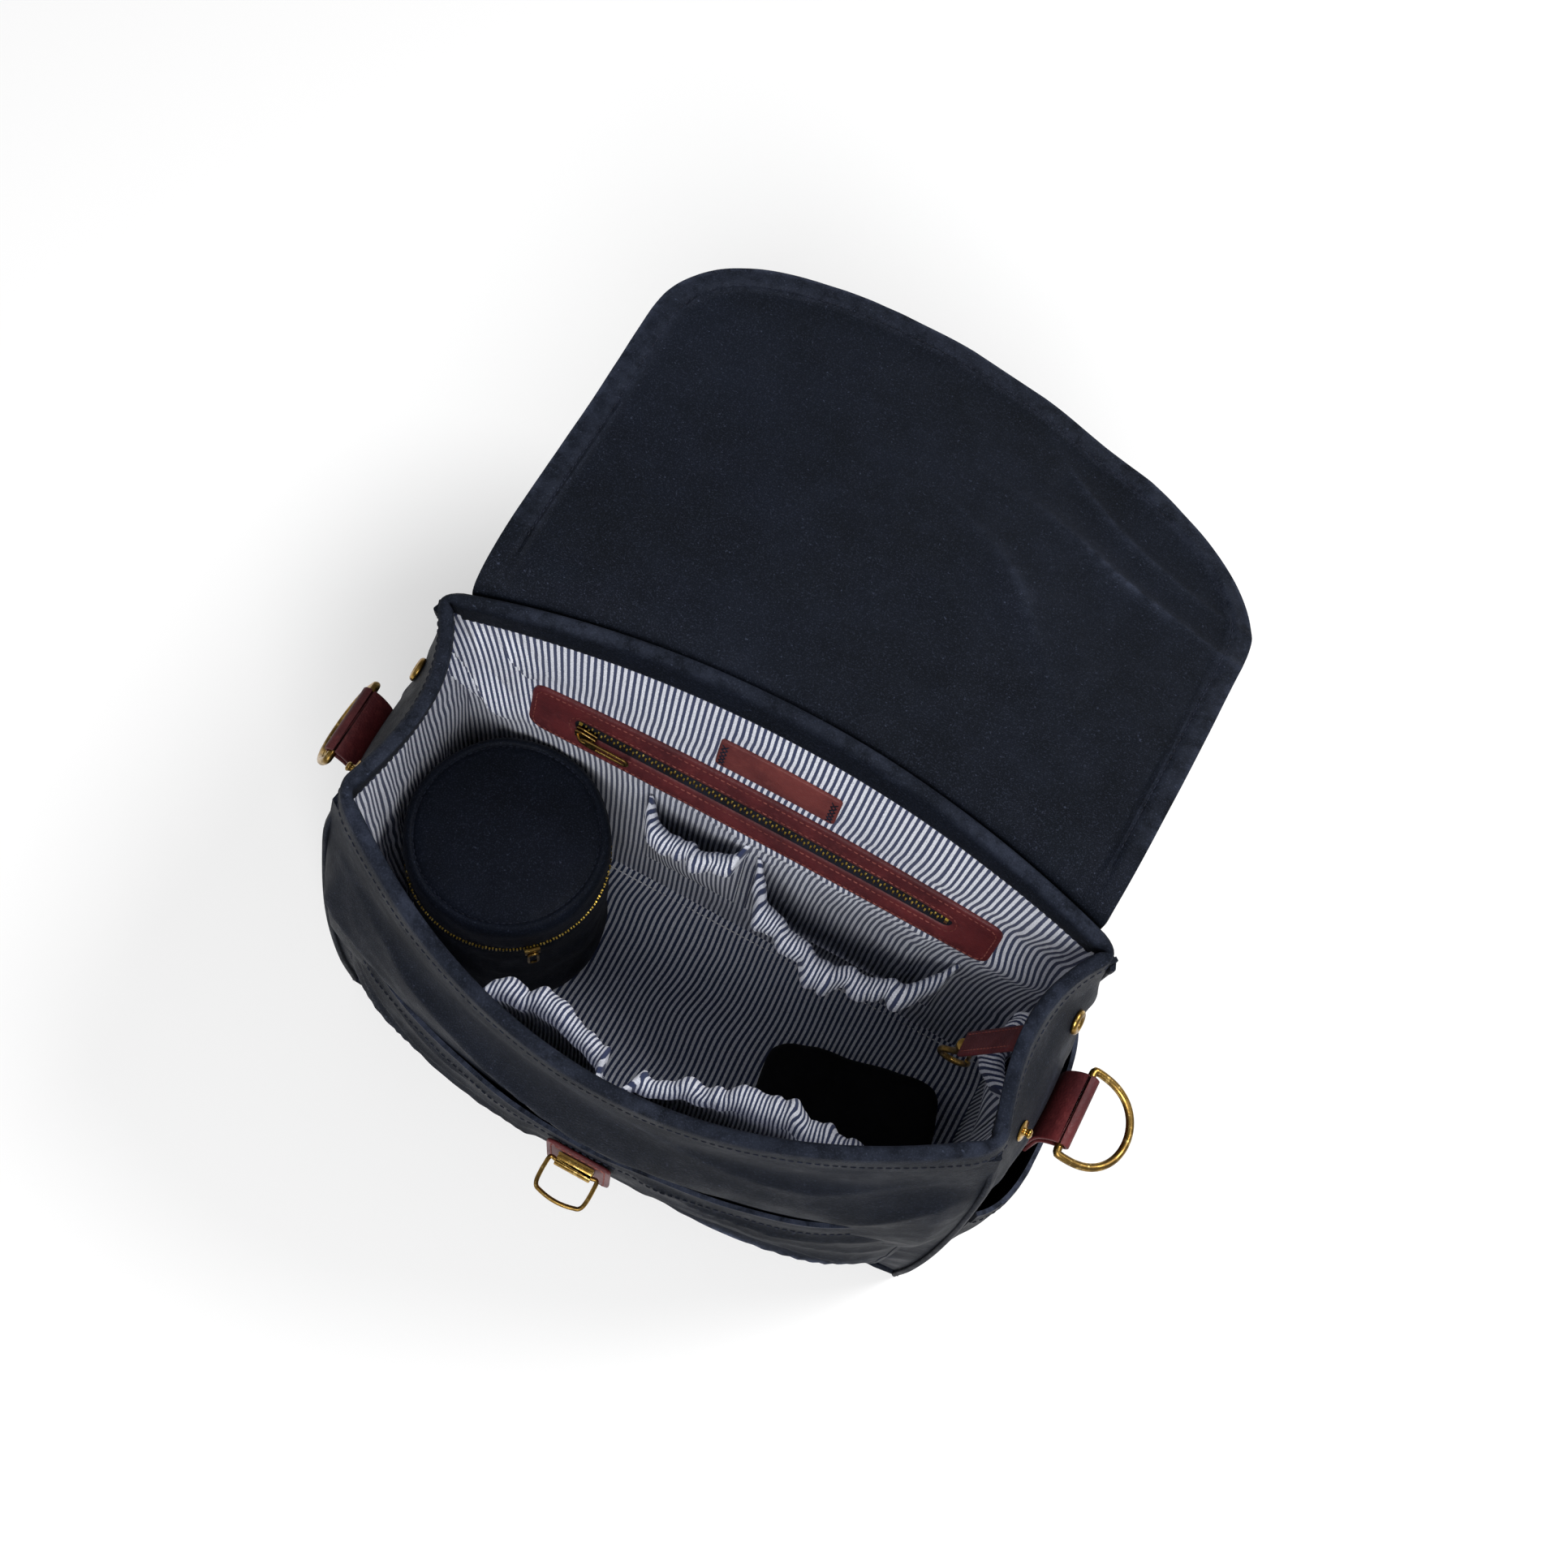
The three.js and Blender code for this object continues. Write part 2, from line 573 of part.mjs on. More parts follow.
function closureLoopPath() {
  const path = [];
  const w = LOOP.halfWidth;
  for (let i = 0; i <= 6; i += 1) path.push(vec(mix(-w, w, i / 6), 0, 0));
  const side = (i) => [w + 0.6 * Math.sin((Math.PI * i) / 3), mix(0, -LOOP.depth + 3, i / 3)];
  for (let i = 1; i <= 3; i += 1) {
    const [x, y] = side(i);
    path.push(vec(x, y, 0));
  }
  for (let i = 0; i <= 8; i += 1) {
    const t = mix(1, -1, i / 8);
    path.push(vec(t * (w - 0.8), -LOOP.depth + 1.4 - 3 * arch(t), 0));
  }
  for (let i = 3; i >= 1; i -= 1) {
    const [x, y] = side(i);
    path.push(vec(-x, y, 0));
  }
  return path;
}
const closureLoop = add('closure_loop', wireLoop(closureLoopPath(), LOOP.wire, vec(0, 0, 1), 8), brass);
closureLoop.position.set(0, bracketY - BRACKET.bar, LOOP.z);

// ---------------------------------------------------------------- flap, in two parts that fold on each other
const flap = new THREE.Group();
flap.position.set(0, FLAP_HINGE_Y, FLAP_HINGE_Z);
flap.rotation.x = radians(-FLAP_SLOPE);
bag.add(flap);

const CORNER_START = 150;
function flapHalfWidth(along) {
  const side = FLAP_HINGE_HALF_WIDTH + (FLAP_FLARE * Math.min(along, 170)) / 170;
  const past = Math.max(0, (along - CORNER_START) / (FLAP_LENGTH - CORNER_START));
  return side * Math.sqrt(Math.max(0, 1 - past ** 2.6));
}

function flapPart(from, to, steps) {
  const edge = Array.from({ length: steps + 1 }, (_, i) => {
    const along = mix(from, to, Math.sin((Math.PI / 2) * (i / steps)));
    return [flapHalfWidth(along), along];
  }).filter(([half]) => half > 1);
  const shape = new THREE.Shape();
  shape.moveTo(-edge[0][0], edge[0][1]);
  edge.forEach(([half, along]) => shape.lineTo(half, along));
  if (to >= FLAP_LENGTH) shape.lineTo(0, FLAP_LENGTH);
  edge.slice(1).reverse().forEach(([half, along]) => shape.lineTo(-half, along));
  return plate(shape, FLAP_THICKNESS);
}
const TAB_PLATE = { halfWidth: 19, halfLength: 17, corner: 5, thickness: 2, along: 224 };
const HOOK_ALONG = 228;
const flapUnder = -CLEAR - FLAP_THICKNESS;
add('flap_rear_panel', flapPart(5, FLAP_FOLD - CLEAR, 8), cloth, flap).position.z = flapUnder;
add('flap_front_panel', flapPart(FLAP_FOLD + CLEAR, FLAP_LENGTH, 14), cloth, flap).position.z = flapUnder;

const tabFace = flapUnder - CLEAR - TAB_PLATE.thickness;
const tabOutline = roundedRectangle(TAB_PLATE.halfWidth, TAB_PLATE.halfLength, TAB_PLATE.corner);
const closureTab = add('closure_tab', plate(tabOutline, TAB_PLATE.thickness), leather, flap);
closureTab.position.set(0, TAB_PLATE.along, tabFace);

// The hook's section: flat on the leather, then round and back, so that the loop catches behind its lip.
function hookSection() {
  const thick = 1.4;
  const throat = 3;
  const reach = 9;
  const bend = throat / 2 + thick;
  const shape = new THREE.Shape();
  shape.moveTo(-reach, 0);
  shape.lineTo(reach, 0);
  shape.absarc(reach, -bend, bend, Math.PI / 2, -Math.PI / 2, true);
  shape.lineTo(reach - 7, -2 * bend);
  shape.lineTo(reach - 7, -2 * bend + thick);
  shape.lineTo(reach, -2 * bend + thick);
  shape.absarc(reach, -bend, throat / 2, -Math.PI / 2, Math.PI / 2);
  shape.lineTo(-reach, -thick);
  return shape;
}
const HOOK_HALF = 8;
const closureHook = add('closure_hook', plate(hookSection(), 2 * HOOK_HALF, 6), brass, flap);
closureHook.quaternion.setFromRotationMatrix(new THREE.Matrix4().makeBasis(vec(0, 1, 0), vec(0, 0, 1), vec(1, 0, 0)));
closureHook.position.set(-HOOK_HALF, HOOK_ALONG, tabFace - CLEAR);

// ---------------------------------------------------------------- key leash
const strap = new THREE.Group();
strap.position.set(KEY.x, KEY.y, KEY.z);
strap.rotation.y = radians(KEY.tilt);
bag.add(strap);
const keyStrap = add('key_strap', block(2.4, KEY.width, KEY.length), leather, strap);
keyStrap.position.z = -KEY.length / 2 - 1;
const tip = vec(0, 0, -KEY.length - 1).applyAxisAngle(vec(0, 1, 0), radians(KEY.tilt)).add(strap.position);
const hook = new THREE.Group();
hook.position.copy(tip);
bag.add(hook);
const eye = add('key_swivel_eye', turned([[0, -6.4], [3, -6.4], [3.4, -4], [3.4, -1.6], [0, -1.6]], 12), brass, hook);
eye.rotation.x = Math.PI / 2;

const trigger = new THREE.Group();
trigger.position.z = -6.4 - CLEAR;
hook.add(trigger);
function hookBody() {
  const outer = [];
  const inner = [];
  const turns = 14;
  for (let i = 0; i <= turns; i += 1) {
    const angle = radians(mix(90, 395, i / turns));
    outer.push([9 * Math.cos(angle), -20 + 9 * Math.sin(angle)]);
    inner.push([5.4 * Math.cos(angle), -20 + 5.4 * Math.sin(angle)]);
  }
  const shape = new THREE.Shape();
  shape.moveTo(-3, 0);
  shape.lineTo(-3, -11.6);
  outer.slice(1).forEach(([x, y]) => shape.lineTo(x, y));
  inner.slice(1).reverse().forEach(([x, y]) => shape.lineTo(x, y));
  shape.lineTo(4.2, -14.4);
  shape.lineTo(4.2, 0);
  return plate(shape, 3.2);
}
const hookMesh = add('trigger_hook', hookBody(), brass, trigger);
hookMesh.rotation.x = Math.PI / 2;
hookMesh.position.y = 1.6;
const gate = add('hook_gate', block(1.8, 2.8, 8.5), brass, trigger);
gate.position.set(5.6, 0, -9.2);

// ---------------------------------------------------------------- round zipped case
const caseGroup = new THREE.Group();
caseGroup.position.set(CASE.x, CASE.y, 0);
bag.add(caseGroup);
const upright = (geometry) => geometry.rotateX(Math.PI / 2);
const inside = CASE.radius - CASE.wall;
const cup = [
  [0, CASE.bottom], [CASE.radius - 3, CASE.bottom], [CASE.radius, CASE.bottom + 3], [CASE.radius, CASE.seam - 1.6],
  [inside, CASE.seam - 1.6], [inside, CASE.bottom + 3], [0, CASE.bottom + 3],
];
const lidOutline = [
  [0, CASE.top - 3], [inside, CASE.top - 3], [inside, CASE.seam + 1.6], [CASE.radius, CASE.seam + 1.6],
  [CASE.radius, CASE.top - 3], [CASE.radius - 3, CASE.top], [0, CASE.top],
];
const teethOutline = [
  [inside, CASE.seam - 1.2], [CASE.radius + 0.4, CASE.seam - 1.2],
  [CASE.radius + 0.4, CASE.seam + 1.2], [inside, CASE.seam + 1.2], [inside, CASE.seam - 1.2],
];
add('case_body', upright(turned(cup, 32)), cloth, caseGroup);
add('case_lid', upright(turned(lidOutline, 32)), cloth, caseGroup);
add('case_zip', upright(turned(teethOutline, 32)), brass, caseGroup);
const caseSliderTurn = radians(CASE.hinge - 35);
const caseSlider = add('case_slider', block(3, 8, 6), brass, caseGroup);
const sliderReach = CASE.radius + 0.4 + CLEAR + 1.5;
caseSlider.position.set(sliderReach * Math.cos(caseSliderTurn), sliderReach * Math.sin(caseSliderTurn), CASE.seam);
caseSlider.rotation.z = caseSliderTurn;

// ---------------------------------------------------------------- soft pouch on the floor
const pouch = new THREE.Group();
pouch.position.set(POUCH.x, POUCH.y, liningBottom);
pouch.rotation.z = radians(POUCH.turn);
bag.add(pouch);
function pillow(halfX, halfY, height, corner, levels) {
  const outline = roundedRectangle(halfX, halfY, corner).getPoints(4).slice(0, -1);
  const rings = [];
  for (let i = 0; i <= levels; i += 1) {
    const v = i / levels;
    const shrink = 1 - 0.1 * Math.abs(2 * v - 1) ** 3;
    rings.push(outline.map((p) => vec(p.x * shrink, p.y * shrink, v * height)));
  }
  return loft(rings);
}
add('pouch_body', pillow(POUCH.length / 2, POUCH.depth / 2, POUCH.height, POUCH.corner, 6), black, pouch);

export default bag;
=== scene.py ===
"""A canvas messenger bag, standing open with its flap thrown back.

The soft shell, the ticking lining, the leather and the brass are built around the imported
frame. Lengths are in millimetres in the frame's own axes until a mesh is made, which is in
metres: +Z up, -Y the front of the bag, the origin at the centre of its base.
"""

import math

import bpy
import numpy as np
from mathutils import Matrix, Vector


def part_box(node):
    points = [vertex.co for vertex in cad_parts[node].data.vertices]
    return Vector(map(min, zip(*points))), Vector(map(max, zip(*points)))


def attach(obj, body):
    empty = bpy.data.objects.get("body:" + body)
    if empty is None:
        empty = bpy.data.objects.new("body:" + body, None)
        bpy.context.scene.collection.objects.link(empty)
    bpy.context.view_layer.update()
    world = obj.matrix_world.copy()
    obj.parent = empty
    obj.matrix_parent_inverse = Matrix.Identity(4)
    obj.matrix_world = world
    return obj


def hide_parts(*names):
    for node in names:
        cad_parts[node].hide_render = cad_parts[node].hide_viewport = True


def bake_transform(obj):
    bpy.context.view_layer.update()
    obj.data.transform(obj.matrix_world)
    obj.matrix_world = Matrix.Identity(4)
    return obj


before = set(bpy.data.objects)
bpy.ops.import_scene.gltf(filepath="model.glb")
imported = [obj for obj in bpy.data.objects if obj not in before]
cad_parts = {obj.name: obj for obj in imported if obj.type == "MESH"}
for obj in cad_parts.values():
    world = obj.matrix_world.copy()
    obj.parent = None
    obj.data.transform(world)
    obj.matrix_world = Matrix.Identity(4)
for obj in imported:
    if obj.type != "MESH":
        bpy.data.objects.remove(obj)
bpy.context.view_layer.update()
MM = 0.001

# ---- camera
CAMERA_AZIMUTH = 11.4  # degrees round from the front
CAMERA_ELEVATION = 69.5
CAMERA_ROLL = 17.3
CAMERA_DISTANCE = 1.012  # metres from the middle of the bag
CAMERA_HEIGHT = 0.13  # the height of that middle
CAMERA_SLIDE = (0.0459, 0.0922)  # how far it stands to its own right and up
CAMERA_LENS = 45.6  # on a sensor 36 mm wide


def make_camera():
    """The photographer's place: almost straight above, a little to the right, and rolled."""
    azimuth, elevation, roll = (
        math.radians(a) for a in (CAMERA_AZIMUTH, CAMERA_ELEVATION, CAMERA_ROLL)
    )
    back = Vector(
        (
            math.sin(azimuth) * math.cos(elevation),
            -math.cos(azimuth) * math.cos(elevation),
            math.sin(elevation),
        )
    )
    level = Vector((math.cos(azimuth), math.sin(azimuth), 0))
    above = back.cross(level)
    right = level * math.cos(roll) + above * math.sin(roll)
    up = above * math.cos(roll) - level * math.sin(roll)
    place = Vector((0, 0, CAMERA_HEIGHT)) + back * CAMERA_DISTANCE
    place += right * CAMERA_SLIDE[0] + up * CAMERA_SLIDE[1]
    data = bpy.data.cameras.new("camera")
    data.lens = CAMERA_LENS
    data.sensor_width = 36
    data.clip_end = 20
    camera = bpy.data.objects.new("camera", data)
    camera.matrix_world = Matrix.Translation(place) @ Matrix((right, up, back)).transposed().to_4x4()
    bpy.context.scene.collection.objects.link(camera)
    bpy.context.scene.camera = camera


make_camera()

# ---- node helpers
class Nodes:
    """A short way to build a material's nodes."""

    def __init__(self, name):
        self.material = bpy.data.materials.new(name)
        self.material.use_nodes = True
        self.tree = self.material.node_tree
        self.shader = self.tree.nodes["Principled BSDF"]

    def add(self, kind, **settings):
        node = self.tree.nodes.new(kind)
        for key, value in settings.items():
            setattr(node, key, value)
        return node

    def link(self, value, socket):
        if isinstance(value, bpy.types.NodeSocket):
            self.tree.links.new(value, socket)
        elif value is not None:
            socket.default_value = value

    def math(self, operation, a, b=None, c=None, clamp=False):
        node = self.add("ShaderNodeMath", operation=operation, use_clamp=clamp)
        for socket, value in zip(node.inputs, (a, b, c)):
            self.link(value, socket)
        return node.outputs[0]

    def mix(self, share, a, b):
        node = self.add("ShaderNodeMix", data_type="RGBA")
        self.link(share, node.inputs["Factor"])
        self.link(a, node.inputs[6])
        self.link(b, node.inputs[7])
        return node.outputs[2]

    def noise(self, vector, scale, detail=3, roughness=0.55):
        node = self.add("ShaderNodeTexNoise")
        self.link(vector, node.inputs["Vector"])
        node.inputs["Scale"].default_value = scale
        node.inputs["Detail"].default_value = detail
        node.inputs["Roughness"].default_value = roughness
        return node.outputs["Fac"]

    def ramp(self, value, low, high, out_low=0, out_high=1):
        node = self.add("ShaderNodeMapRange", interpolation_type="SMOOTHSTEP")
        self.link(value, node.inputs["Value"])
        for socket, number in zip(node.inputs[1:5], (low, high, out_low, out_high)):
            socket.default_value = number
        return node.outputs["Result"]

    def place(self):
        return self.add("ShaderNodeTexCoord").outputs["Object"]

    def cloth(self):
        """The cloth's own flat coordinates in millimetres, and its wear and painted highlight in the third
        number.
        """
        attribute = self.add("ShaderNodeAttribute", attribute_name="cloth")
        split = self.add("ShaderNodeSeparateXYZ")
        self.link(attribute.outputs["Vector"], split.inputs[0])
        return attribute.outputs["Vector"], split.outputs

    def weave(self, flat, pitch):
        """The height of a plain weave over the cloth's own coordinates."""
        thread = 2 * math.pi / pitch
        warp = self.math("SINE", self.math("MULTIPLY", flat[0], thread))
        weft = self.math("SINE", self.math("MULTIPLY", flat[1], thread))
        return self.math("MULTIPLY", warp, weft)

    def bump(self, height, depth, strength=1.0, normal=None):
        node = self.add("ShaderNodeBump")
        node.inputs["Strength"].default_value = strength
        node.inputs["Distance"].default_value = depth
        self.link(height, node.inputs["Height"])
        if normal is not None:
            self.link(normal, node.inputs["Normal"])
        return node.outputs["Normal"]

    def finish(self, color, roughness, normal=None, **settings):
        self.link(color, self.shader.inputs["Base Color"])
        self.link(roughness, self.shader.inputs["Roughness"])
        if normal is not None:
            self.link(normal, self.shader.inputs["Normal"])
        for key, value in settings.items():
            self.shader.inputs[key.replace("_", " ")].default_value = value
        return self.material


def rgb(red, green, blue):
    """A colour given as it looks on a screen, from 0 to 255."""
    bright = [((c / 255 + 0.055) / 1.055) ** 2.4 for c in (red, green, blue)]
    dark = [c / 255 / 12.92 for c in (red, green, blue)]
    return (*[b if c > 10 else d for b, d, c in zip(bright, dark, (red, green, blue))], 1.0)


# ---- materials
CANVAS_YARN, TICKING_YARN, STRIPE_PITCH = 0.9, 0.62, 3.35  # millimetres


def canvas_material(name, dark, middle, worn_and_highlight):
    """Waxed canvas: clouds of two blues, crests lightened by wear and a painted highlight, and flecks, over a
    weave and a soft crumple.
    """
    n = Nodes(name)
    place = n.place()
    _, flat = n.cloth()
    clouds = n.ramp(n.noise(place, 9, 4), 0.32, 0.7)
    mottled = n.ramp(n.noise(place, 46, 5, 0.65), 0.3, 0.75)
    color = n.mix(n.math("MULTIPLY_ADD", clouds, 0.55, n.math("MULTIPLY", mottled, 0.45)), dark, middle)
    streak = n.noise(place, 120, 4, 0.7)
    # the cloth's third number, broken by streaks, mixes in the lighter tone: wear, and a painted highlight on
    # the crests
    wear_and_highlight = n.math("MULTIPLY", flat[2], n.ramp(streak, 0.3, 0.65), clamp=True)
    color = n.mix(wear_and_highlight, color, worn_and_highlight)
    fleck = n.ramp(n.noise(place, 620, 2, 0.5), 0.66, 0.78)
    color = n.mix(n.math("MULTIPLY", fleck, 0.35), color, worn_and_highlight)
    color = n.mix(n.ramp(n.noise(place, 1300, 2, 0.6), 0.5, 0.72, 0, 0.16), color, worn_and_highlight)
    normal = n.bump(n.weave(flat, CANVAS_YARN), 0.00012, 0.5)
    normal = n.bump(n.noise(place, 900, 3, 0.6), 0.0005, 0.6, normal)
    normal = n.bump(n.noise(place, 70, 4, 0.6), 0.0012, 0.45, normal)
    roughness = n.ramp(mottled, 0, 1, 0.66, 0.5)
    sheen = {"Sheen_Weight": 0.01, "Sheen_Roughness": 0.5}
    return n.finish(color, roughness, normal, Specular_IOR_Level=0.075, **sheen)


def ticking_material(name, pale, stripe):
    """Striped ticking: the stripes follow the cloth's own first coordinate, with a little wander."""
    n = Nodes(name)
    place = n.place()
    vector, flat = n.cloth()
    wander = n.math("MULTIPLY_ADD", n.noise(vector, 0.9, 2), 0.5, -0.25)
    across = n.math("ADD", flat[0], wander)
    phase = n.math("PINGPONG", n.math("DIVIDE", across, STRIPE_PITCH), 0.5)
    share = n.ramp(phase, 0.2, 0.3)
    color = n.mix(share, pale, stripe)
    slub = n.noise(place, 1500, 2, 0.6)
    color = n.mix(n.ramp(slub, 0.35, 0.75, 0, 0.3), color, stripe)
    color = n.mix(n.ramp(n.noise(place, 14, 3), 0.4, 0.75, 0, 0.12), color, stripe)
    normal = n.bump(n.weave(flat, TICKING_YARN), 0.0001, 0.5)
    normal = n.bump(n.noise(place, 160, 3, 0.6), 0.0007, 0.4, normal)
    return n.finish(color, 0.86, normal, Sheen_Weight=0.1, Specular_IOR_Level=0.25)


def leather_material(name, dark, middle, light):
    """Leather with clouds of colour, light rubbed spots and a pebbled grain."""
    n = Nodes(name)
    place = n.place()
    clouds = n.ramp(n.noise(place, 38, 4, 0.6), 0.3, 0.72)
    color = n.mix(clouds, dark, middle)
    color = n.mix(n.ramp(n.noise(place, 260, 3, 0.6), 0.5, 0.8, 0, 0.35), color, light)
    grain = n.add("ShaderNodeTexVoronoi", feature="F1")
    n.link(place, grain.inputs["Vector"])
    grain.inputs["Scale"].default_value = 900
    normal = n.bump(grain.outputs["Distance"], 0.00022, 0.55)
    normal = n.bump(n.noise(place, 300, 3, 0.6), 0.0004, 0.4, normal)
    roughness = n.ramp(clouds, 0, 1, 0.58, 0.46)
    return n.finish(color, roughness, normal, Specular_IOR_Level=0.26)


def brass_material(name, dark, middle, bright):
    """Old brass: dull and darker in patches, bright where it is rubbed, finely scratched."""
    n = Nodes(name)
    place = n.place()
    patina = n.ramp(n.noise(place, 90, 4, 0.65), 0.34, 0.66)
    color = n.mix(patina, dark, middle)
    color = n.mix(n.ramp(n.noise(place, 330, 3, 0.7), 0.52, 0.74), color, bright)
    scratches = n.noise(place, 1400, 3, 0.7)
    normal = n.bump(scratches, 0.00008, 0.5)
    normal = n.bump(n.noise(place, 180, 2, 0.5), 0.0003, 0.35, normal)
    roughness = n.ramp(patina, 0, 1, 0.42, 0.24)
    return n.finish(color, roughness, normal, Metallic=1.0)


def plain_weave_material(name, dark, light, roughness, weave_scale=900):
    """Plain cloth, tape, board or thread in two near tones."""
    n = Nodes(name)
    place = n.place()
    color = n.mix(n.ramp(n.noise(place, 60, 4, 0.6), 0.3, 0.7), dark, light)
    normal = n.bump(n.noise(place, weave_scale, 2, 0.5), 0.0003, 0.6)
    return n.finish(color, roughness, normal, Specular_IOR_Level=0.2)


CANVAS = canvas_material("navy_waxed_canvas", rgb(7, 11, 18), rgb(15, 20, 31), rgb(76, 83, 103))
TICKING = ticking_material("ticking_stripe", rgb(243, 245, 253), rgb(58, 66, 96))
LEATHER = leather_material("burgundy_leather", rgb(66, 24, 28), rgb(92, 36, 38), rgb(120, 58, 56))
LABEL_LEATHER = leather_material("label_leather", rgb(88, 40, 40), rgb(112, 54, 51), rgb(138, 76, 68))
BRASS = brass_material("antique_brass", rgb(104, 82, 44), rgb(164, 130, 66), rgb(214, 184, 116))
GOLD_TEETH = brass_material("zip_brass", rgb(96, 78, 30), rgb(168, 140, 60), rgb(230, 206, 120))
BLACK = plain_weave_material("black_cloth", rgb(7, 7, 9), rgb(16, 16, 19), 0.92)
TAPE = plain_weave_material("zip_tape", rgb(12, 13, 20), rgb(24, 26, 36), 0.85, 1400)
BOARD = plain_weave_material("base_board", rgb(38, 38, 40), rgb(52, 51, 50), 0.8, 500)
NAVY_THREAD = plain_weave_material("navy_thread", rgb(14, 17, 27), rgb(28, 33, 48), 0.6, 2600)
CREAM_THREAD = plain_weave_material("cream_thread", rgb(206, 206, 212), rgb(240, 240, 244), 0.7, 2600)
WINE_THREAD = plain_weave_material("wine_thread", rgb(96, 44, 42), rgb(140, 80, 72), 0.6, 2600)

# Stitches: the thread's material, the length of a stitch, the pitch and the thread's radius.
CANVAS_STITCH = (NAVY_THREAD, 2.5, 3.7, 0.36)
RIM_STITCH = (NAVY_THREAD, 2.6, 3.8, 0.36)
FLAP_STITCH = (NAVY_THREAD, 2.6, 3.8, 0.4)
CASE_STITCH = (NAVY_THREAD, 2.4, 3.5, 0.36)
LABEL_STITCH = (NAVY_THREAD, 3.4, 3.6, 0.34)
FLOOR_STITCH = (CREAM_THREAD, 2.2, 3.2, 0.34)
TRIM_STITCH = (WINE_THREAD, 2.3, 3.3, 0.34)
LEATHER_STITCH = (WINE_THREAD, 2.4, 3.4, 0.36)
LEASH_STITCH = (WINE_THREAD, 2.2, 3.2, 0.32)

# What a piece is made of, by the names that the frame's slots have.
NAVY, LINED, BROWN, GOLDEN = "navy_canvas", "ticking_lining", "brown_leather", "antique_brass"

# ---- small maths
def mix(a, b, t):
    return a + (b - a) * t


def smooth(low, high, value):
    t = np.clip((value - low) / (high - low), 0, 1)
    return t * t * (3 - 2 * t)


def lattice(ix, iy, seed):
    value = np.sin(ix * 127.1 + iy * 311.7 + seed * 74.7) * 43758.5453
    return value - np.floor(value)


def soft_noise(x, y, seed=0):
    """Smooth noise over a plane from -1 to 1, about one hill to each unit."""
    ix, iy = np.floor(x), np.floor(y)
    fx, fy = x - ix, y - iy
    fx, fy = fx * fx * (3 - 2 * fx), fy * fy * (3 - 2 * fy)
    low = mix(lattice(ix, iy, seed), lattice(ix + 1, iy, seed), fx)
    high = mix(lattice(ix, iy + 1, seed), lattice(ix + 1, iy + 1, seed), fx)
    return 2 * mix(low, high, fy) - 1


def crumple(a, z, seed, size=30):
    """Two octaves of noise, for cloth that has been handled."""
    fine = soft_noise(a * 2.3 / size, z * 2.3 / size, seed + 5)
    return 0.7 * soft_noise(a / size, z / size, seed) + 0.3 * fine


def profile(points):
    """A smooth curve through (height, value) pairs."""
    x, y = np.array(points, float).T
    slope = np.empty_like(y)
    slope[1:-1] = (y[2:] - y[:-2]) / (x[2:] - x[:-2])
    slope[0] = (y[1] - y[0]) / (x[1] - x[0])
    slope[-1] = (y[-1] - y[-2]) / (x[-1] - x[-2])

    def curve(z):
        i = np.clip(np.searchsorted(x, z, side="right") - 1, 0, len(x) - 2)
        span = x[i + 1] - x[i]
        t = np.clip((z - x[i]) / span, 0, 1)
        t2, t3 = t * t, t * t * t
        near = (2 * t3 - 3 * t2 + 1) * y[i] + (t3 - 2 * t2 + t) * slope[i] * span
        return near + (3 * t2 - 2 * t3) * y[i + 1] + (t3 - t2) * slope[i + 1] * span

    return curve


def stack(x, y, z):
    x, y, z = np.broadcast_arrays(x, y, z)
    return np.stack((x, y, z), axis=-1).astype(float)


def unit(v):
    return v / np.maximum(np.linalg.norm(v, axis=-1, keepdims=True), 1e-9)


# ---- mesh helpers
def quads(rows, columns, start=0, wrap_rows=False, wrap_columns=False, flip=False):
    """The faces of a grid of points that are numbered row by row."""
    row_count = rows if wrap_rows else rows - 1
    column_count = columns if wrap_columns else columns - 1
    i, j = np.meshgrid(np.arange(row_count), np.arange(column_count), indexing="ij")
    i2, j2 = (i + 1) % rows, (j + 1) % columns
    corners = [i * columns + j, i * columns + j2, i2 * columns + j2, i2 * columns + j]
    if flip:
        corners.reverse()
    return (np.stack(corners, -1).reshape(-1, 4) + start).tolist()


def make_object(name, points, faces, material, cloth=None, sharp=55):
    """A mesh object from points in millimetres, with smooth shading broken at sharp edges."""
    mesh = bpy.data.meshes.new(name)
    mesh.from_pydata((np.asarray(points).reshape(-1, 3) * MM).tolist(), [], faces)
    mesh.materials.append(material)
    if cloth is not None:
        attribute = mesh.attributes.new("cloth", "FLOAT_VECTOR", "POINT")
        attribute.data.foreach_set("vector", np.asarray(cloth, np.float32).reshape(-1))
    mesh.polygons.foreach_set("use_smooth", np.ones(len(mesh.polygons), bool))
    mesh.set_sharp_from_angle(angle=math.radians(sharp))
    mesh.update()
    obj = bpy.data.objects.new(name, mesh)
    bpy.context.scene.collection.objects.link(obj)
    return obj


def grid_normals(face):
    down = np.gradient(face, axis=0)
    across = np.gradient(face, axis=1)
    return unit(np.cross(across, down))


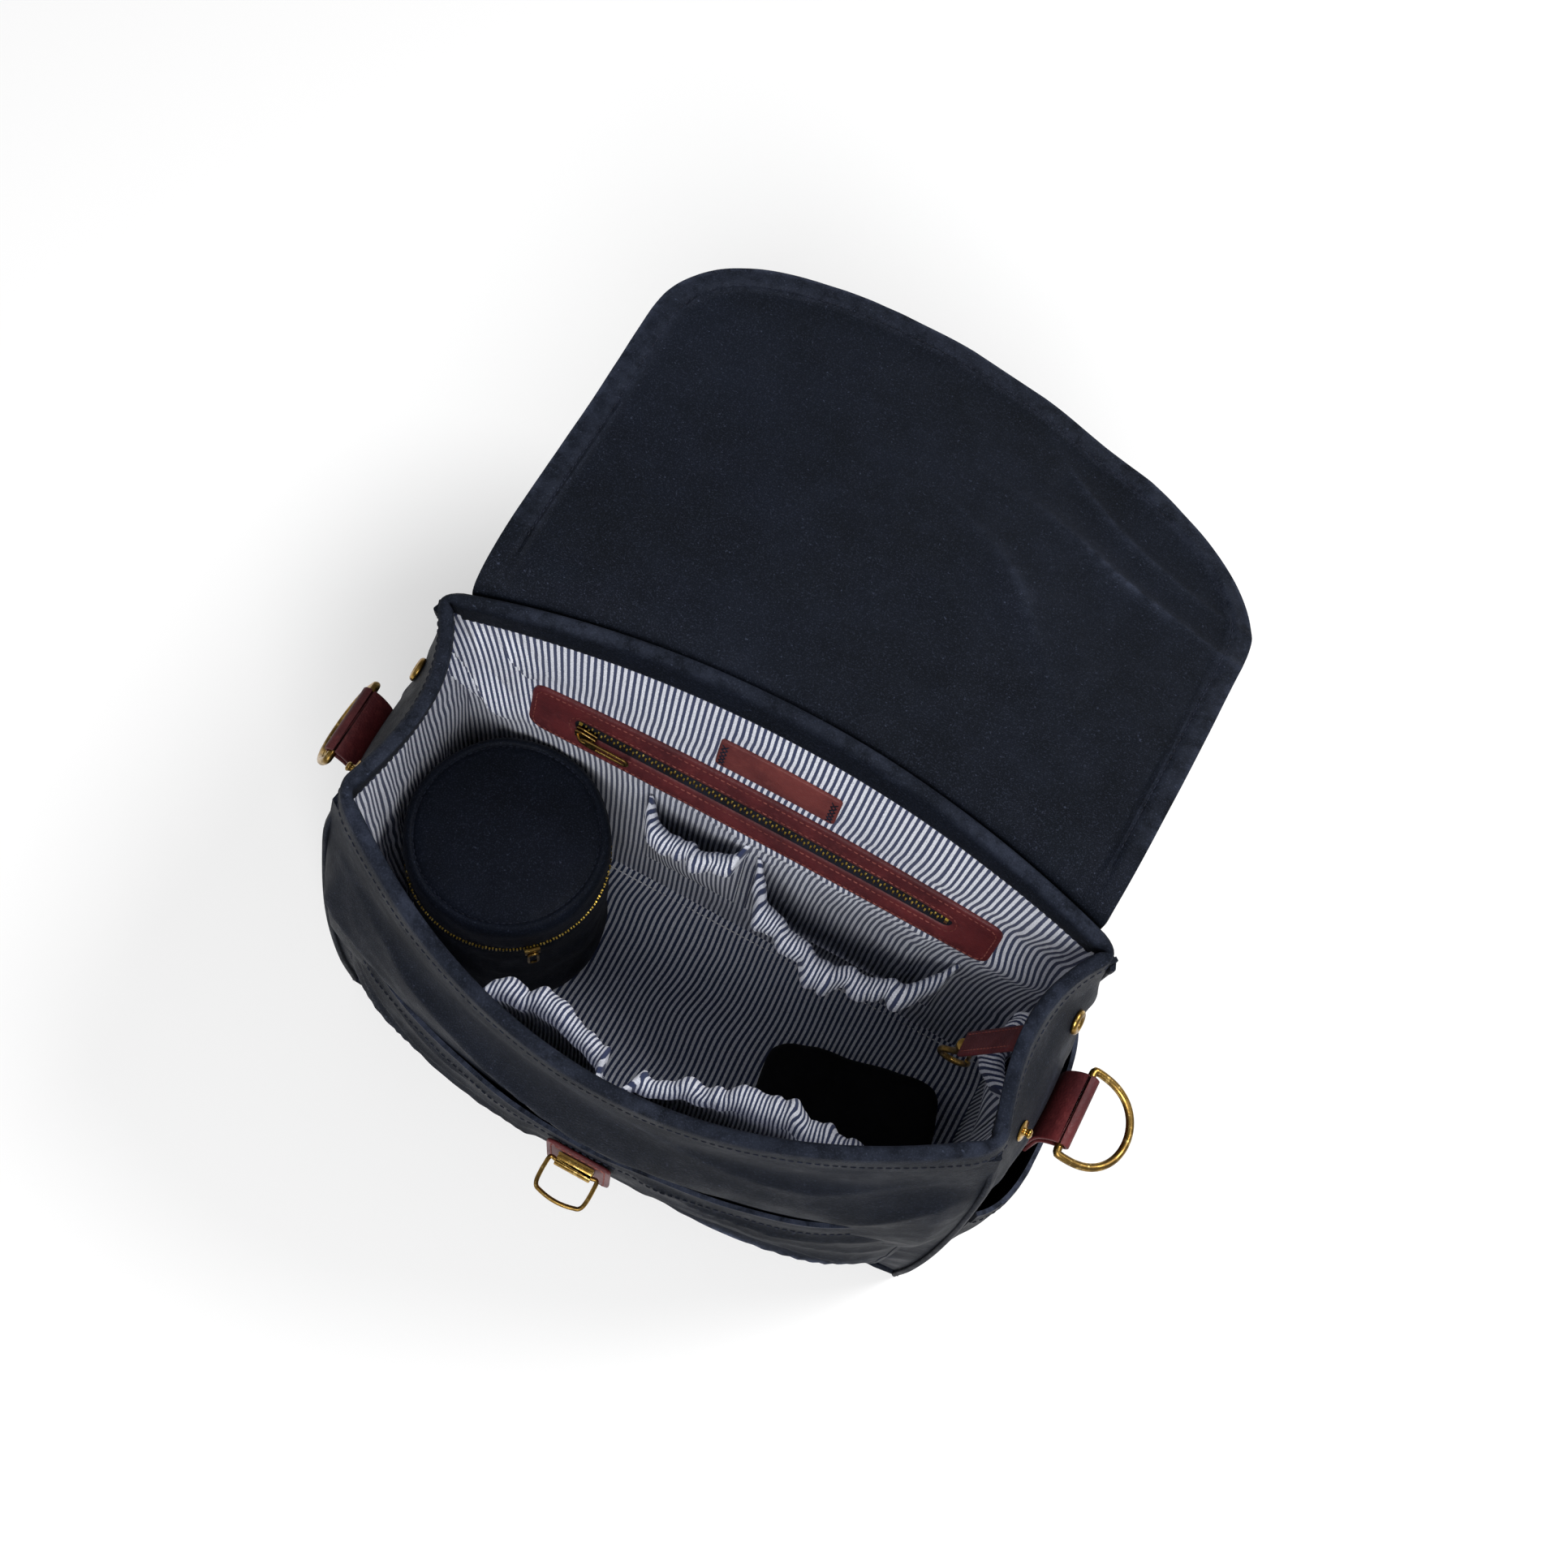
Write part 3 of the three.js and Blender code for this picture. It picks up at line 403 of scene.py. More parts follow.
def cloth_object(name, face, flat, wear_and_highlight, thickness, material, back_side=1):
    """A sheet of cloth from the grid of its face; its back lies `thickness` behind it."""
    rows, columns = face.shape[:2]
    back = face - grid_normals(face) * thickness * back_side
    points = np.concatenate((face.reshape(-1, 3), back.reshape(-1, 3)))
    flip = back_side < 0
    faces = quads(rows, columns, flip=flip) + quads(rows, columns, rows * columns, flip=not flip)
    rim = [(0, j) for j in range(columns)] + [(i, columns - 1) for i in range(1, rows)]
    rim += [(rows - 1, j) for j in range(columns - 2, -1, -1)] + [(i, 0) for i in range(rows - 2, 0, -1)]
    index = [i * columns + j for i, j in rim]
    offset = rows * columns
    for a, b in zip(index, index[1:] + index[:1]):
        faces.append([b, a, a + offset, b + offset] if not flip else [a, b, b + offset, a + offset])
    values = np.concatenate([stack(flat[0], flat[1], wear_and_highlight).reshape(-1, 3)] * 2)
    return make_object(name, points, faces, material, values)


def path_frames(path, closed, hint):
    """The directions across a path and up from it, at each of its points."""
    if closed:
        along = unit(np.roll(path, -1, 0) - np.roll(path, 1, 0))
    else:
        along = unit(np.gradient(path, axis=0))
    side = unit(np.cross(along, np.broadcast_to(hint, path.shape)))
    return side, unit(np.cross(side, along))


def sweep(name, path, section, material, closed=False, hint=(0, 0, 1)):
    """Sweeps a section (points across, up) along a path; hint is roughly the path's up."""
    path = np.asarray(path, float)
    side, up = path_frames(path, closed, np.array(hint, float))
    section = np.asarray(section, float)
    if section.ndim == 2:
        section = np.broadcast_to(section, (len(path), *section.shape))
    rings = path[:, None] + side[:, None] * section[..., :1] + up[:, None] * section[..., 1:]
    rows, columns = rings.shape[:2]
    faces = quads(rows, columns, wrap_rows=closed, wrap_columns=True)
    if not closed:
        faces.append(list(range(columns)))
        faces.append([(rows - 1) * columns + j for j in range(columns - 1, -1, -1)])
    obj = make_object(name, rings, faces, material)
    face_outwards(obj)
    return obj


def face_outwards(obj):
    """Turns every face of a closed mesh outwards."""
    mesh = obj.data
    count = len(mesh.vertices)
    co = np.empty(count * 3)
    mesh.vertices.foreach_get("co", co)
    co = co.reshape(-1, 3)
    mesh.calc_loop_triangles()
    tri = np.empty(len(mesh.loop_triangles) * 3, int)
    mesh.loop_triangles.foreach_get("vertices", tri)
    a, b, c = co[tri.reshape(-1, 3)].transpose(1, 0, 2)
    if np.einsum("ij,ij->i", a, np.cross(b, c)).sum() < 0:
        mesh.flip_normals()


def round_section(radius, sides=14, squash=1.0):
    angle = np.arange(sides) * 2 * math.pi / sides
    return np.stack((radius * np.cos(angle), radius * squash * np.sin(angle)), -1)


def strap_section(width, thickness, edge=None, steps=4):
    """A flat strap's section with rounded edges."""
    edge = min(thickness / 2, 1.2) if edge is None else edge
    points = []
    for cx, cy, start in ((1, 1, 0), (-1, 1, 90), (-1, -1, 180), (1, -1, 270)):
        for k in range(steps + 1):
            angle = math.radians(start + 90 * k / steps)
            points.append(
                (
                    cx * (width / 2 - edge) + edge * math.cos(angle),
                    cy * (thickness / 2 - edge) + edge * math.sin(angle),
                )
            )
    return np.array(points)


def closed_rings(name, rings, material, cloth=None):
    """A closed skin from rings of points, where the last ring joins the first."""
    faces = quads(*rings.shape[:2], wrap_rows=True, wrap_columns=True)
    obj = make_object(name, rings, faces, material, cloth)
    face_outwards(obj)
    return obj


def lathe(name, outline, material, matrix=None, segments=48, wobble=0.0, sharp=40):
    """Turns (radius, height) pairs about the z axis; the outline closes on itself or on the axis."""
    outline = np.array(outline, float)
    on_axis = [outline[0][0] < 1e-6, outline[-1][0] < 1e-6]
    ring = outline[(1 if on_axis[0] else 0) : (-1 if on_axis[1] else None)]
    angle = np.arange(segments) * 2 * math.pi / segments
    r = ring[:, :1] * np.ones(segments)
    z = ring[:, 1:] * np.ones(segments)
    if wobble:
        shift = wobble * soft_noise(3 * np.cos(angle) + 9 + z / 17, 3 * np.sin(angle) + 4 + z / 23, 3)
        r = r + shift * smooth(5, 15, r)
    points = stack(r * np.cos(angle), r * np.sin(angle), z)
    rows = len(ring)
    closed = not any(on_axis)
    faces = quads(rows, segments, wrap_rows=closed, wrap_columns=True)
    flat_points = points.reshape(-1, 3)
    extra = []
    for k, end in enumerate(on_axis):
        if end:
            tip = len(flat_points) + len(extra)
            extra.append((0, 0, outline[0][1] if k == 0 else outline[-1][1]))
            row = 0 if k == 0 else (rows - 1) * segments
            for j in range(segments):
                pair = [row + j, row + (j + 1) % segments]
                faces.append([*(reversed(pair) if k == 0 else pair), tip])
    if extra:
        flat_points = np.concatenate((flat_points, np.array(extra)))
    if matrix is not None:
        flat_points = apply(matrix, flat_points)
    obj = make_object(name, flat_points, faces, material, sharp=sharp)
    face_outwards(obj)
    return obj


def node_middle(node):
    low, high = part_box(node)
    return np.array((low + high) / 2) / MM


def node_corners(node):
    low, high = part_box(node)
    return np.array(low) / MM, np.array(high) / MM


def apply(matrix, points):
    m = np.array(matrix, float)
    return np.asarray(points) @ m[:3, :3].T + m[:3, 3]


def join(name, objects):
    """One object out of several that share a material."""
    points, faces = [], []
    start = 0
    material = objects[0].data.materials[0]
    for obj in objects:
        mesh = obj.data
        co = np.empty(len(mesh.vertices) * 3)
        mesh.vertices.foreach_get("co", co)
        points.append(co.reshape(-1, 3) / MM)
        faces += [[start + v for v in p.vertices] for p in mesh.polygons]
        start += len(mesh.vertices)
        bpy.data.objects.remove(obj)
    return make_object(name, np.concatenate(points), faces, material)


def boxes_object(name, centres, axes, size, material, taper=0.8):
    """Many small blocks in one mesh: each has its centre, its three axes and a common size."""
    centres, axes = np.asarray(centres, float), np.asarray(axes, float)
    half = np.array(size, float) / 2
    corner = np.array([(x, y, z) for z in (-1, 1) for y in (-1, 1) for x in (-1, 1)], float)
    shape = corner * half
    shape[4:, :2] *= taper
    points = centres[:, None] + np.einsum("kc,ncd->nkd", shape, axes)
    sides = np.array([(0, 2, 3, 1), (4, 5, 7, 6), (0, 1, 5, 4), (2, 6, 7, 3), (0, 4, 6, 2), (1, 3, 7, 5)])
    faces = (sides[None] + 8 * np.arange(len(centres))[:, None, None]).reshape(-1, 4).tolist()
    return make_object(name, points, faces, material, sharp=30)


def resample(path, step, closed=False):
    """Distances about a step apart along a path, each point's own distance, and the path."""
    path = np.asarray(path, float)
    if closed:
        path = np.concatenate((path, path[:1]))
    lengths = np.concatenate(([0], np.cumsum(np.linalg.norm(np.diff(path, axis=0), axis=1))))
    count = max(2, int(lengths[-1] / step))
    where = (np.arange(count) + 0.5) * lengths[-1] / count
    return where, lengths, path


def read_path(where, lengths, path):
    """The points at given distances along a path."""
    return np.stack([np.interp(where, lengths, column) for column in path.T], -1)


def stitches(name, path, normals, stitch, closed=False):
    """A row of stitches along a path on a surface, given its normals or the one they share."""
    material, length, pitch, radius = stitch
    normals = np.broadcast_to(np.asarray(normals, float), np.shape(path))
    where, lengths, path = resample(path, pitch, closed)
    if closed:
        normals = np.concatenate((normals, normals[:1]))
    at = read_path(where, lengths, path)
    up = unit(read_path(where, lengths, normals))
    along = unit(read_path(where + 0.4, lengths, path) - read_path(where - 0.4, lengths, path))
    side = unit(np.cross(along, up))
    angle = np.arange(6) * math.pi / 3
    places = np.array([-0.5, -0.38, 0, 0.38, 0.5]) * length
    widths = np.array([0.25, 0.85, 1.0, 0.85, 0.25]) * radius
    arch = np.array([-0.2, 0.05, 0.2, 0.05, -0.2]) * radius
    at, up, along, side = (v[:, None, None] for v in (at, up, along, side))
    places, widths, arch = (v[None, :, None, None] for v in (places, widths, arch))
    sine, cosine = (v[None, None, :, None] for v in (np.sin(angle), np.cos(angle)))
    rings = at + along * places + up * (arch + widths * sine) + side * widths * cosine
    one = quads(5, 6, wrap_columns=True) + [list(range(5, -1, -1)), list(range(24, 30))]
    faces = [[v + 30 * k for v in f] for k in range(len(at)) for f in one]
    obj = make_object(name, rings, faces, material, sharp=80)
    face_outwards(obj)
    return obj


# ---- the bag's walls, as in the frame
front_corner_x = profile([(0, 172), (120, 174), (220, 171), (280, 165)])
front_corner_y = profile([(0, 66), (60, 68), (140, 64), (220, 54), (280, 45)])
back_corner_x = profile([(0, 172), (120, 174), (220, 175), (288, 174)])
back_corner_y = profile([(0, 66), (50, 70), (140, 70), (200, 65), (288, 56)])
front_middle = profile([(0, 68), (40, 84), (90, 93), (140, 98), (200, 102.5), (280, 106)])
back_middle = profile([(0, 68), (60, 74), (140, 74), (200, 71), (240, 77), (288, 87)])
gusset_middle = profile(
    [(0, 172), (60, 177), (140, 179), (190, 181), (215, 180), (240, 172), (262, 160), (282, 154)]
)
front_lining_middle = profile([(0, 63), (60, 66), (120, 75), (200, 90), (250, 98.5), (280, 102.5)])
back_lining_middle = profile([(0, 65.5), (50, 67), (140, 67), (200, 64), (240, 71), (288, 83.5)])

RIM_FRONT, RIM_RISE = 280, 8  # the rim's height at the front, and how much it rises to the back
RIM_START, RIM_RUN = 106, 190  # the rise starts this far in front of the middle and runs so far
LINING_GAP = 3.8  # from the wall's outer face to the lining's
LINING, ELASTIC_CLOTH, FABRIC = 1.2, 1.0, 2.2  # thickness of the ticking, of a pocket's, of the canvas
BAND_HEIGHT, INTO_BAND = 17, 5  # the facing round the mouth, and how far cloth reaches into it
FLOOR = 6.6  # height of the lining's floor
CURVED_CLEAR = 1.0  # how far a patch pocket stands off the wall that it is sewn to
BOWED = 1.06  # how much longer the bowed front and back are than their straight chord
PROBE = 0.02  # a small step along a wall, to find its direction


def wall(side, s, z):
    """The place in plan of a wall, s from -1 to 1 along it, at height z."""
    arch = 1 - s * s
    gap = LINING_GAP if "lining" in side else 0
    if side in ("front", "front_lining"):
        middle = front_lining_middle(z) if gap else front_middle(z)
        return (front_corner_x(z) - gap) * s, -mix(front_corner_y(z) - gap, middle, arch)
    if side in ("back", "back_lining"):
        middle = back_lining_middle(z) if gap else back_middle(z)
        return -(back_corner_x(z) - gap) * s, mix(back_corner_y(z) - gap, middle, arch)
    hand = 1 if side == "right" else -1
    t = (hand * s + 1) / 2
    corners = mix(front_corner_x(z), back_corner_x(z), t)
    return hand * mix(corners, gusset_middle(z), arch), mix(-front_corner_y(z), back_corner_y(z), t)


def on_wall(side, s, z, inward=0.0):
    """A point on a wall, moved inwards square to the wall in plan."""
    s, z, inward = np.broadcast_arrays(*(np.asarray(value, float) for value in (s, z, inward)))
    x, y = wall(side, s, z)
    xa, ya = wall(side, s - PROBE, z)
    xb, yb = wall(side, s + PROBE, z)
    length = np.hypot(xb - xa, yb - ya)
    return stack(x - (yb - ya) / length * inward, y + (xb - xa) / length * inward, z)


def rim_height(y):
    return RIM_FRONT + RIM_RISE * smooth(0, 1, (y + RIM_START) / RIM_RUN)


def grid(columns, rows):
    """Two arrays of places from 0 to 1, across and up."""
    return np.meshgrid(np.linspace(0, 1, columns + 1), np.linspace(0, 1, rows + 1))


def along_wall(side, s, z):
    """Distance along a wall's cloth in millimetres, for the weave and the stripes."""
    if side.startswith(("front", "back")):
        return s * (2 * front_corner_x(z)) / 2 * BOWED
    return s * (front_corner_y(z) + back_corner_y(z)) / 2


def keep(obj, body, *nodes, slot=None):
    """Files a finished piece: the body it rides on and the nodes it stands for. The slot is not used."""
    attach(obj, body)
    if nodes:
        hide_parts(*nodes)


# ---- outer shell
def folds(a, z, spacing, slant, seed):
    """Long slouching folds: sharp crests with round valleys, from 0 to 1."""
    phase = z / spacing + slant * a / 100 + 0.9 * soft_noise(a / 95, z / 70, seed)
    crest = 1 - np.abs(np.sin(math.pi * phase))
    strength = 0.55 + 0.45 * soft_noise(a / 80, z / 40, seed + 1)
    return crest * np.clip(strength, 0, 1)


SHELL_SEED = 1
SLOUCH = 10.6  # how far the front sags out above its pocket's middle
CREST_WEAR_AND_HIGHLIGHT = 1.3  # wear and painted highlight along the sharp crests of the folds
SHELL_FOLDS = {
    # spacing of the folds, slant, height of the crests
    "front": (31, 0.2, 6.4),
    "back": (62, -0.12, 3.2),
    "left": (46, 0.45, 4.2),
    "right": (48, -0.4, 4.0),
}


def shell_surface(side, s, z):
    """How far out the canvas stands at a place on a wall, and how much crease wear and painted highlight
    lightens it there.
    """
    spacing, slant, height = SHELL_FOLDS[side]
    a = along_wall(side, s, z)
    crest = folds(a, z, spacing, slant, SHELL_SEED)
    held = smooth(0, 28, z) * smooth(0, 26, rim_height(wall(side, s, z)[1]) - BAND_HEIGHT + 6 - z)
    held = held * smooth(1.0, 0.82, np.abs(s))
    out = held * (height * crest**1.4 + 1.6 * crumple(a, z, SHELL_SEED + 9, 42))
    if side == "front":
        slouch = smooth(110, 178, z) * smooth(240, 206, z) * np.minimum(1, 3 * (1 - s**4))
        out = out * (1 - 0.75 * slouch * smooth(206, 190, z))
        out = out * (1 - 0.75 * smooth(214, 244, z)) + SLOUCH * slouch
    # the sharp crests are painted lighter: partly crease wear, partly a painted highlight where the ridges
    # catch the light
    return out, crest**7 * held * CREST_WEAR_AND_HIGHLIGHT, a


def shell_panel(side, columns, rows, node):
    u, v = grid(columns, rows)
    s = mix(-1.0, 1.0, u)
    top = rim_height(wall(side, s, RIM_FRONT)[1]) - BAND_HEIGHT + INTO_BAND
    z = mix(1.0, top - 2 * smooth(0.92, 1.0, np.abs(s)), v)
    out, wear_and_highlight, a = shell_surface(side, s, z)
    if side in ("left", "right"):
        flat_top = smooth(214, 226, z) * smooth(0.8, 0.6, np.abs(s))
        out = mix(out, 0.2, flat_top)
        on_tab = smooth(0.42, 0.3, np.abs(s)) * smooth(160, 168, z)
        out = mix(out, 0.0, on_tab)
    face = on_wall(side, s, z, -out)
    obj = cloth_object(f"canvas_{side}", face, (a, z), wear_and_highlight, FABRIC, CANVAS)
    keep(obj, "bag", node, slot=NAVY)


shell_panel("front", 190, 130, "outer_front_panel")
shell_panel("back", 170, 120, "outer_back_panel")
shell_panel("left", 80, 130, "outer_gusset_left")
shell_panel("right", 80, 130, "outer_gusset_right")


def corner_welts():
    """The turned seam at each upright corner of the shell, tucked in under the facing."""
    runs = []
    for side, top in (("front", 262), ("back", 270)):
        z = np.linspace(3, top, 60)
        for s in (-1.0, 1.0):
            path = on_wall(side, s, z, -0.6 + 3.2 * smooth(top - 26, top - 4, z))
            hint = unit(path * np.array([1, 1, 0]))[30]
            runs.append(sweep("welt", path, strap_section(5.0, 2.6, 1.2), CANVAS, hint=hint))
    keep(join("corner_welts", runs), "bag", slot=NAVY)


corner_welts()


HEM_LIFT, HEM_EDGE, HEM_SEAM = 0.9, (15.5, 14), 13  # how proud it is, its lower edge, its stitches


def pocket_hem(z, high):
    """The doubled cloth along a patch pocket's top."""
    return HEM_LIFT * smooth(high - HEM_EDGE[0], high - HEM_EDGE[1], z)


def rounded_up(v):
    """How full a pocket is at a height: it bellies out and stays full to the top."""
    return np.sin(math.pi / 2 * np.minimum(1.25 * v, 1))


def hem_run(face, low, high):
    """The row of a pocket's grid where its hem is sewn, and the normals there."""
    rows = len(face) - 1
    row = int(rows * (high - HEM_SEAM - low) / (high - low))
    return face[row], grid_normals(face)[row]


def front_pocket():
    low, high, span, bulge = 14, 191, 0.9, 13
    u, v = grid(200, 120)
    s, z = mix(-span, span, u), mix(low, high, v)
    across = 1 - np.abs(2 * u - 1) ** 5
    a = along_wall("front", s, z)
    crest = folds(a, z, 30, 0.3, 21)
    held = np.minimum(across * 1.6, 1) * smooth(0, 0.2, v) * smooth(1.0, 0.86, v)
    lean = smooth(158, 190, z) * np.minimum(across * 1.6, 1)
    lean = lean * (2.6 + 1.2 * soft_noise(a / 38, 0 * a, 77))
    out = CURVED_CLEAR + bulge * across * rounded_up(v) + FABRIC - lean
    on_patch = smooth(34, 24, np.abs(a)) * smooth(120, 132, z) * smooth(186, 178, z)
    sway = held * (6.4 * crest**1.4 + 1.8 * crumple(a, z, 31, 36))
    out = out + sway * (1 - on_patch)
    out = out + pocket_hem(z, high)
    # crests painted lighter for crease wear and a painted highlight; the top edge lighter for wear
    wear_and_highlight = crest**7 * held * CREST_WEAR_AND_HIGHLIGHT + 0.35 * smooth(high - 2.5, high, z)
    face = on_wall("front", s, z, -out)
    obj = cloth_object("front_pocket_canvas", face, (a, z), wear_and_highlight, FABRIC, CANVAS)
    keep(obj, "bag", "front_pocket", slot=NAVY)
    normal = grid_normals(face)
    lines = [hem_run(face, low, high)]
    lines += [(face[:, column], normal[:, column]) for column in (2, -3)]
    runs = [stitches("run", p + n * 0.2, n, CANVAS_STITCH) for p, n in lines]
    keep(join("front_pocket_stitching", runs), "bag")


front_pocket()


def side_pocket(side, bulge, node):
    low, high, span = 12, 171, 0.86
    toward_back = 1 if side == "right" else -1
    u, v = grid(84, 90)
    s, z = mix(-span, span, u), mix(low, high, v)
    across = 1 - np.abs(2 * u - 1) ** 3
    a = along_wall(side, s, z)
    crest = folds(a, z, 40, 0.35, 43)
    held = across * smooth(0, 0.2, v) * smooth(1.0, 0.86, v)
    lean = smooth(130, high, z) * across * (0.36 + 0.16 * s * toward_back)
    out = CURVED_CLEAR + bulge * across * rounded_up(v) * (1 - lean) + FABRIC
    out = out + held * (3.4 * crest**1.4 + 1.4 * crumple(a, z, 47, 34)) + pocket_hem(z, high)
    dip = 7 * across * smooth(0.8, 1.0, v)
    # crests painted lighter for crease wear and a painted highlight; the top edge lighter for wear
    wear_and_highlight = crest**5 * held * 0.9 + 0.5 * smooth(high - 2.5, high, z)
    face = on_wall(side, s, z - dip, -out)
    obj = cloth_object(f"side_pocket_canvas_{side}", face, (a, z), wear_and_highlight, FABRIC, CANVAS)
    keep(obj, "bag", node, slot=NAVY)
    path, normal = hem_run(face, low, high)
    keep(stitches(f"side_pocket_stitching_{side}", path + normal * 0.2, normal, CANVAS_STITCH), "bag")


side_pocket("left", 9, "side_pocket_left")
side_pocket("right", 14, "side_pocket_right")

# ---- base
def plan_loop(z, inset, steps=28):
    """A closed loop of points round the walls at one height, moved inwards by `inset`."""
    s = np.linspace(-1, 1, steps, endpoint=False)
    return np.concatenate([on_wall(side, s, z, inset) for side in ("front", "right", "back", "left")])


def disc_rows(loop, rows, heights):
    """Rings of points from the middle of a loop out to it."""
    share = np.linspace(0, 1, rows) ** 0.8
    centre = np.array([loop[:, 0].mean(), loop[:, 1].mean(), 0])
    rings = centre + (loop - centre) * np.maximum(share, 0.004)[:, None, None]
    rings[..., 2] = heights(rings[..., 0], rings[..., 1])
    return rings


def base_canvas():
    loop = plan_loop(2.0, -0.4)
    under = disc_rows(loop, 16, lambda x, y: 0.3 + 0.25 * (1 + soft_noise(x / 40, y / 40, 2)))
    over = under[::-1] + np.array([0, 0, 2.0])
    rings = np.concatenate((under, over))
    obj = closed_rings("base_canvas", rings, CANVAS, stack(rings[..., 0], rings[..., 1], 0.1))
    keep(obj, "bag", "outer_base_panel", slot=NAVY)
    edge = plan_loop(2.4, -1.2)
    piping = sweep("base_piping", edge, round_section(1.9, 10), CANVAS, closed=True)
    keep(piping, "bag", slot=NAVY)


base_canvas()


def floor_height(x, y):
    """The lining's floor: soft ripples that run across it and die out at its edges."""
    edge = smooth(172, 120, np.abs(x)) * smooth(64, 40, np.abs(y))
    ripple = 1.7 * soft_noise(x / 46, y / 18, 61) + 0.8 * soft_noise(x / 20, y / 30, 62)
    return FLOOR + 0.4 + edge * np.maximum(ripple + 0.9, 0)


def floor_lining():
    u, v = grid(170, 80)
    x_edge, y_edge = 169.5, 64.3
    x, y = mix(-x_edge, x_edge, u), mix(-y_edge, y_edge, v)
    sway = 2.6 * soft_noise(x / 60, y / 26, 64) * smooth(64, 40, np.abs(y))
    face = stack(x, y, floor_height(x, y))
    obj = cloth_object("floor_lining", face, (x + sway, y), 0, LINING, TICKING)
    keep(obj, "bag", "lining_base", slot=LINED)
    for y_seam, name in ((-59.5, "front"), (59.5, "back")):
        seam_x = np.linspace(-160, 160, 120)
        path = stack(seam_x, y_seam, floor_height(seam_x, np.full(120, y_seam)) + 0.3)
        keep(stitches(f"floor_seam_{name}", path, (0, 0, 1), FLOOR_STITCH), "bag")


floor_lining()

# ---- lining walls
ZIP_HEIGHT, ZIP_HALF = 203, 104  # the zip's height on the back wall, and half its opening
TRIM_HALF, TRIM_HALF_HEIGHT, TRIM_CORNER = 128, 17, 7  # its leather frame
TOOTH_PITCH = 1.75
LABEL = {"z": 240, "half": (32, 11)}
# How far the back lining leans into the bag at each height.
LINING_LEAN = profile([(0, 0), (110, 0), (160, 3.0), (184, 5.6), (203, 0.4), (220, -2.0), (240, 0), (288, 0)])
PINCH = 9.0  # depth of the folds that the thrown-back flap pinches in the lining's left end


def lining_sway(side, s, z):
    """How far the lining stands in from its place in the frame."""
    a = along_wall(side, s, z)
    upright = soft_noise(a / 17, z / 95, 71) + 0.6 * soft_noise(a / 8, z / 120, 72)
    out = 1.6 * np.maximum(upright, -0.25) + 1.0 * crumple(a, z, 73, 26)
    free = smooth(4, 30, z - FLOOR) * smooth(0, 26, rim_height(wall(side, s, z)[1]) - BAND_HEIGHT + 4 - z)
    if side == "back_lining":
        x = wall(side, s, z)[0]
        trim = smooth(TRIM_HALF + 14, TRIM_HALF + 2, np.abs(x)) * smooth(29, 19, np.abs(z - ZIP_HEIGHT))
        label = smooth(48, 34, np.abs(x)) * smooth(22, 12, np.abs(z - LABEL["z"]))
        free = free * (1 - np.maximum(trim, label))
        corner = smooth(-118, -140, x) * smooth(160, 205, z) * smooth(272, 254, z)
        pinch = np.abs(np.sin(0.19 * (x + 0.35 * z) + 1.2 * soft_noise(x / 20, z / 40, 75)))
        out = out + PINCH * corner * (1 - pinch)
    out = np.maximum(out * free, -0.2)
    if side == "back_lining":
        out = out + LINING_LEAN(z) * smooth(1.0, 0.86, np.abs(s))
    return out, a


def lining_wall(side, node, columns, rows, edge):
    u, v = grid(columns, rows)
    s = mix(-edge, edge, u)
    top = rim_height(wall(side, s, RIM_FRONT)[1]) - BAND_HEIGHT + INTO_BAND
    z = mix(FLOOR - 0.8, top - 4.5 * smooth(0.93, 1.0, np.abs(s)), v)
    sway, a = lining_sway(side, s, z)
    base = LINING_GAP if side in ("left", "right") else 0.0
    face = on_wall(side, s, z, base + LINING + sway)
    obj = cloth_object(f"ticking_{node}", face, (a + 0.8 * sway, z), 0, LINING, TICKING, back_side=-1)
    keep(obj, "bag", node, slot=LINED)


lining_wall("back_lining", "lining_back", 190, 120, 1.0)
lining_wall("front_lining", "lining_front", 190, 120, 1.0)
lining_wall("left", "lining_gusset_left", 90, 130, 0.965)
lining_wall("right", "lining_gusset_right", 90, 130, 0.965)


def zip_pocket_bag():
    u, v = grid(40, 30)
    x, z = mix(-118, 118, u), mix(70, ZIP_HEIGHT + 2, v)
    s = -x / (back_corner_x(z) - LINING_GAP)
    face = on_wall("back_lining", s, z, -1.1 - 0.3 * soft_noise(x / 30, z / 30, 5))
    obj = cloth_object("zip_pocket_cloth", face, (x, z), 0, 1.0, TICKING, back_side=-1)
    keep(obj, "bag", "zip_pocket_bag", slot=LINED)


zip_pocket_bag()

# ---- folded band round the mouth
RIM_WAVE, RIM_PUFF, RIM_OUT = 1.1, 0.9, 0.8  # its waves, its swelling, how far it stands out
RIM_SMOOTHING = 3  # rings on each side that each ring is averaged with


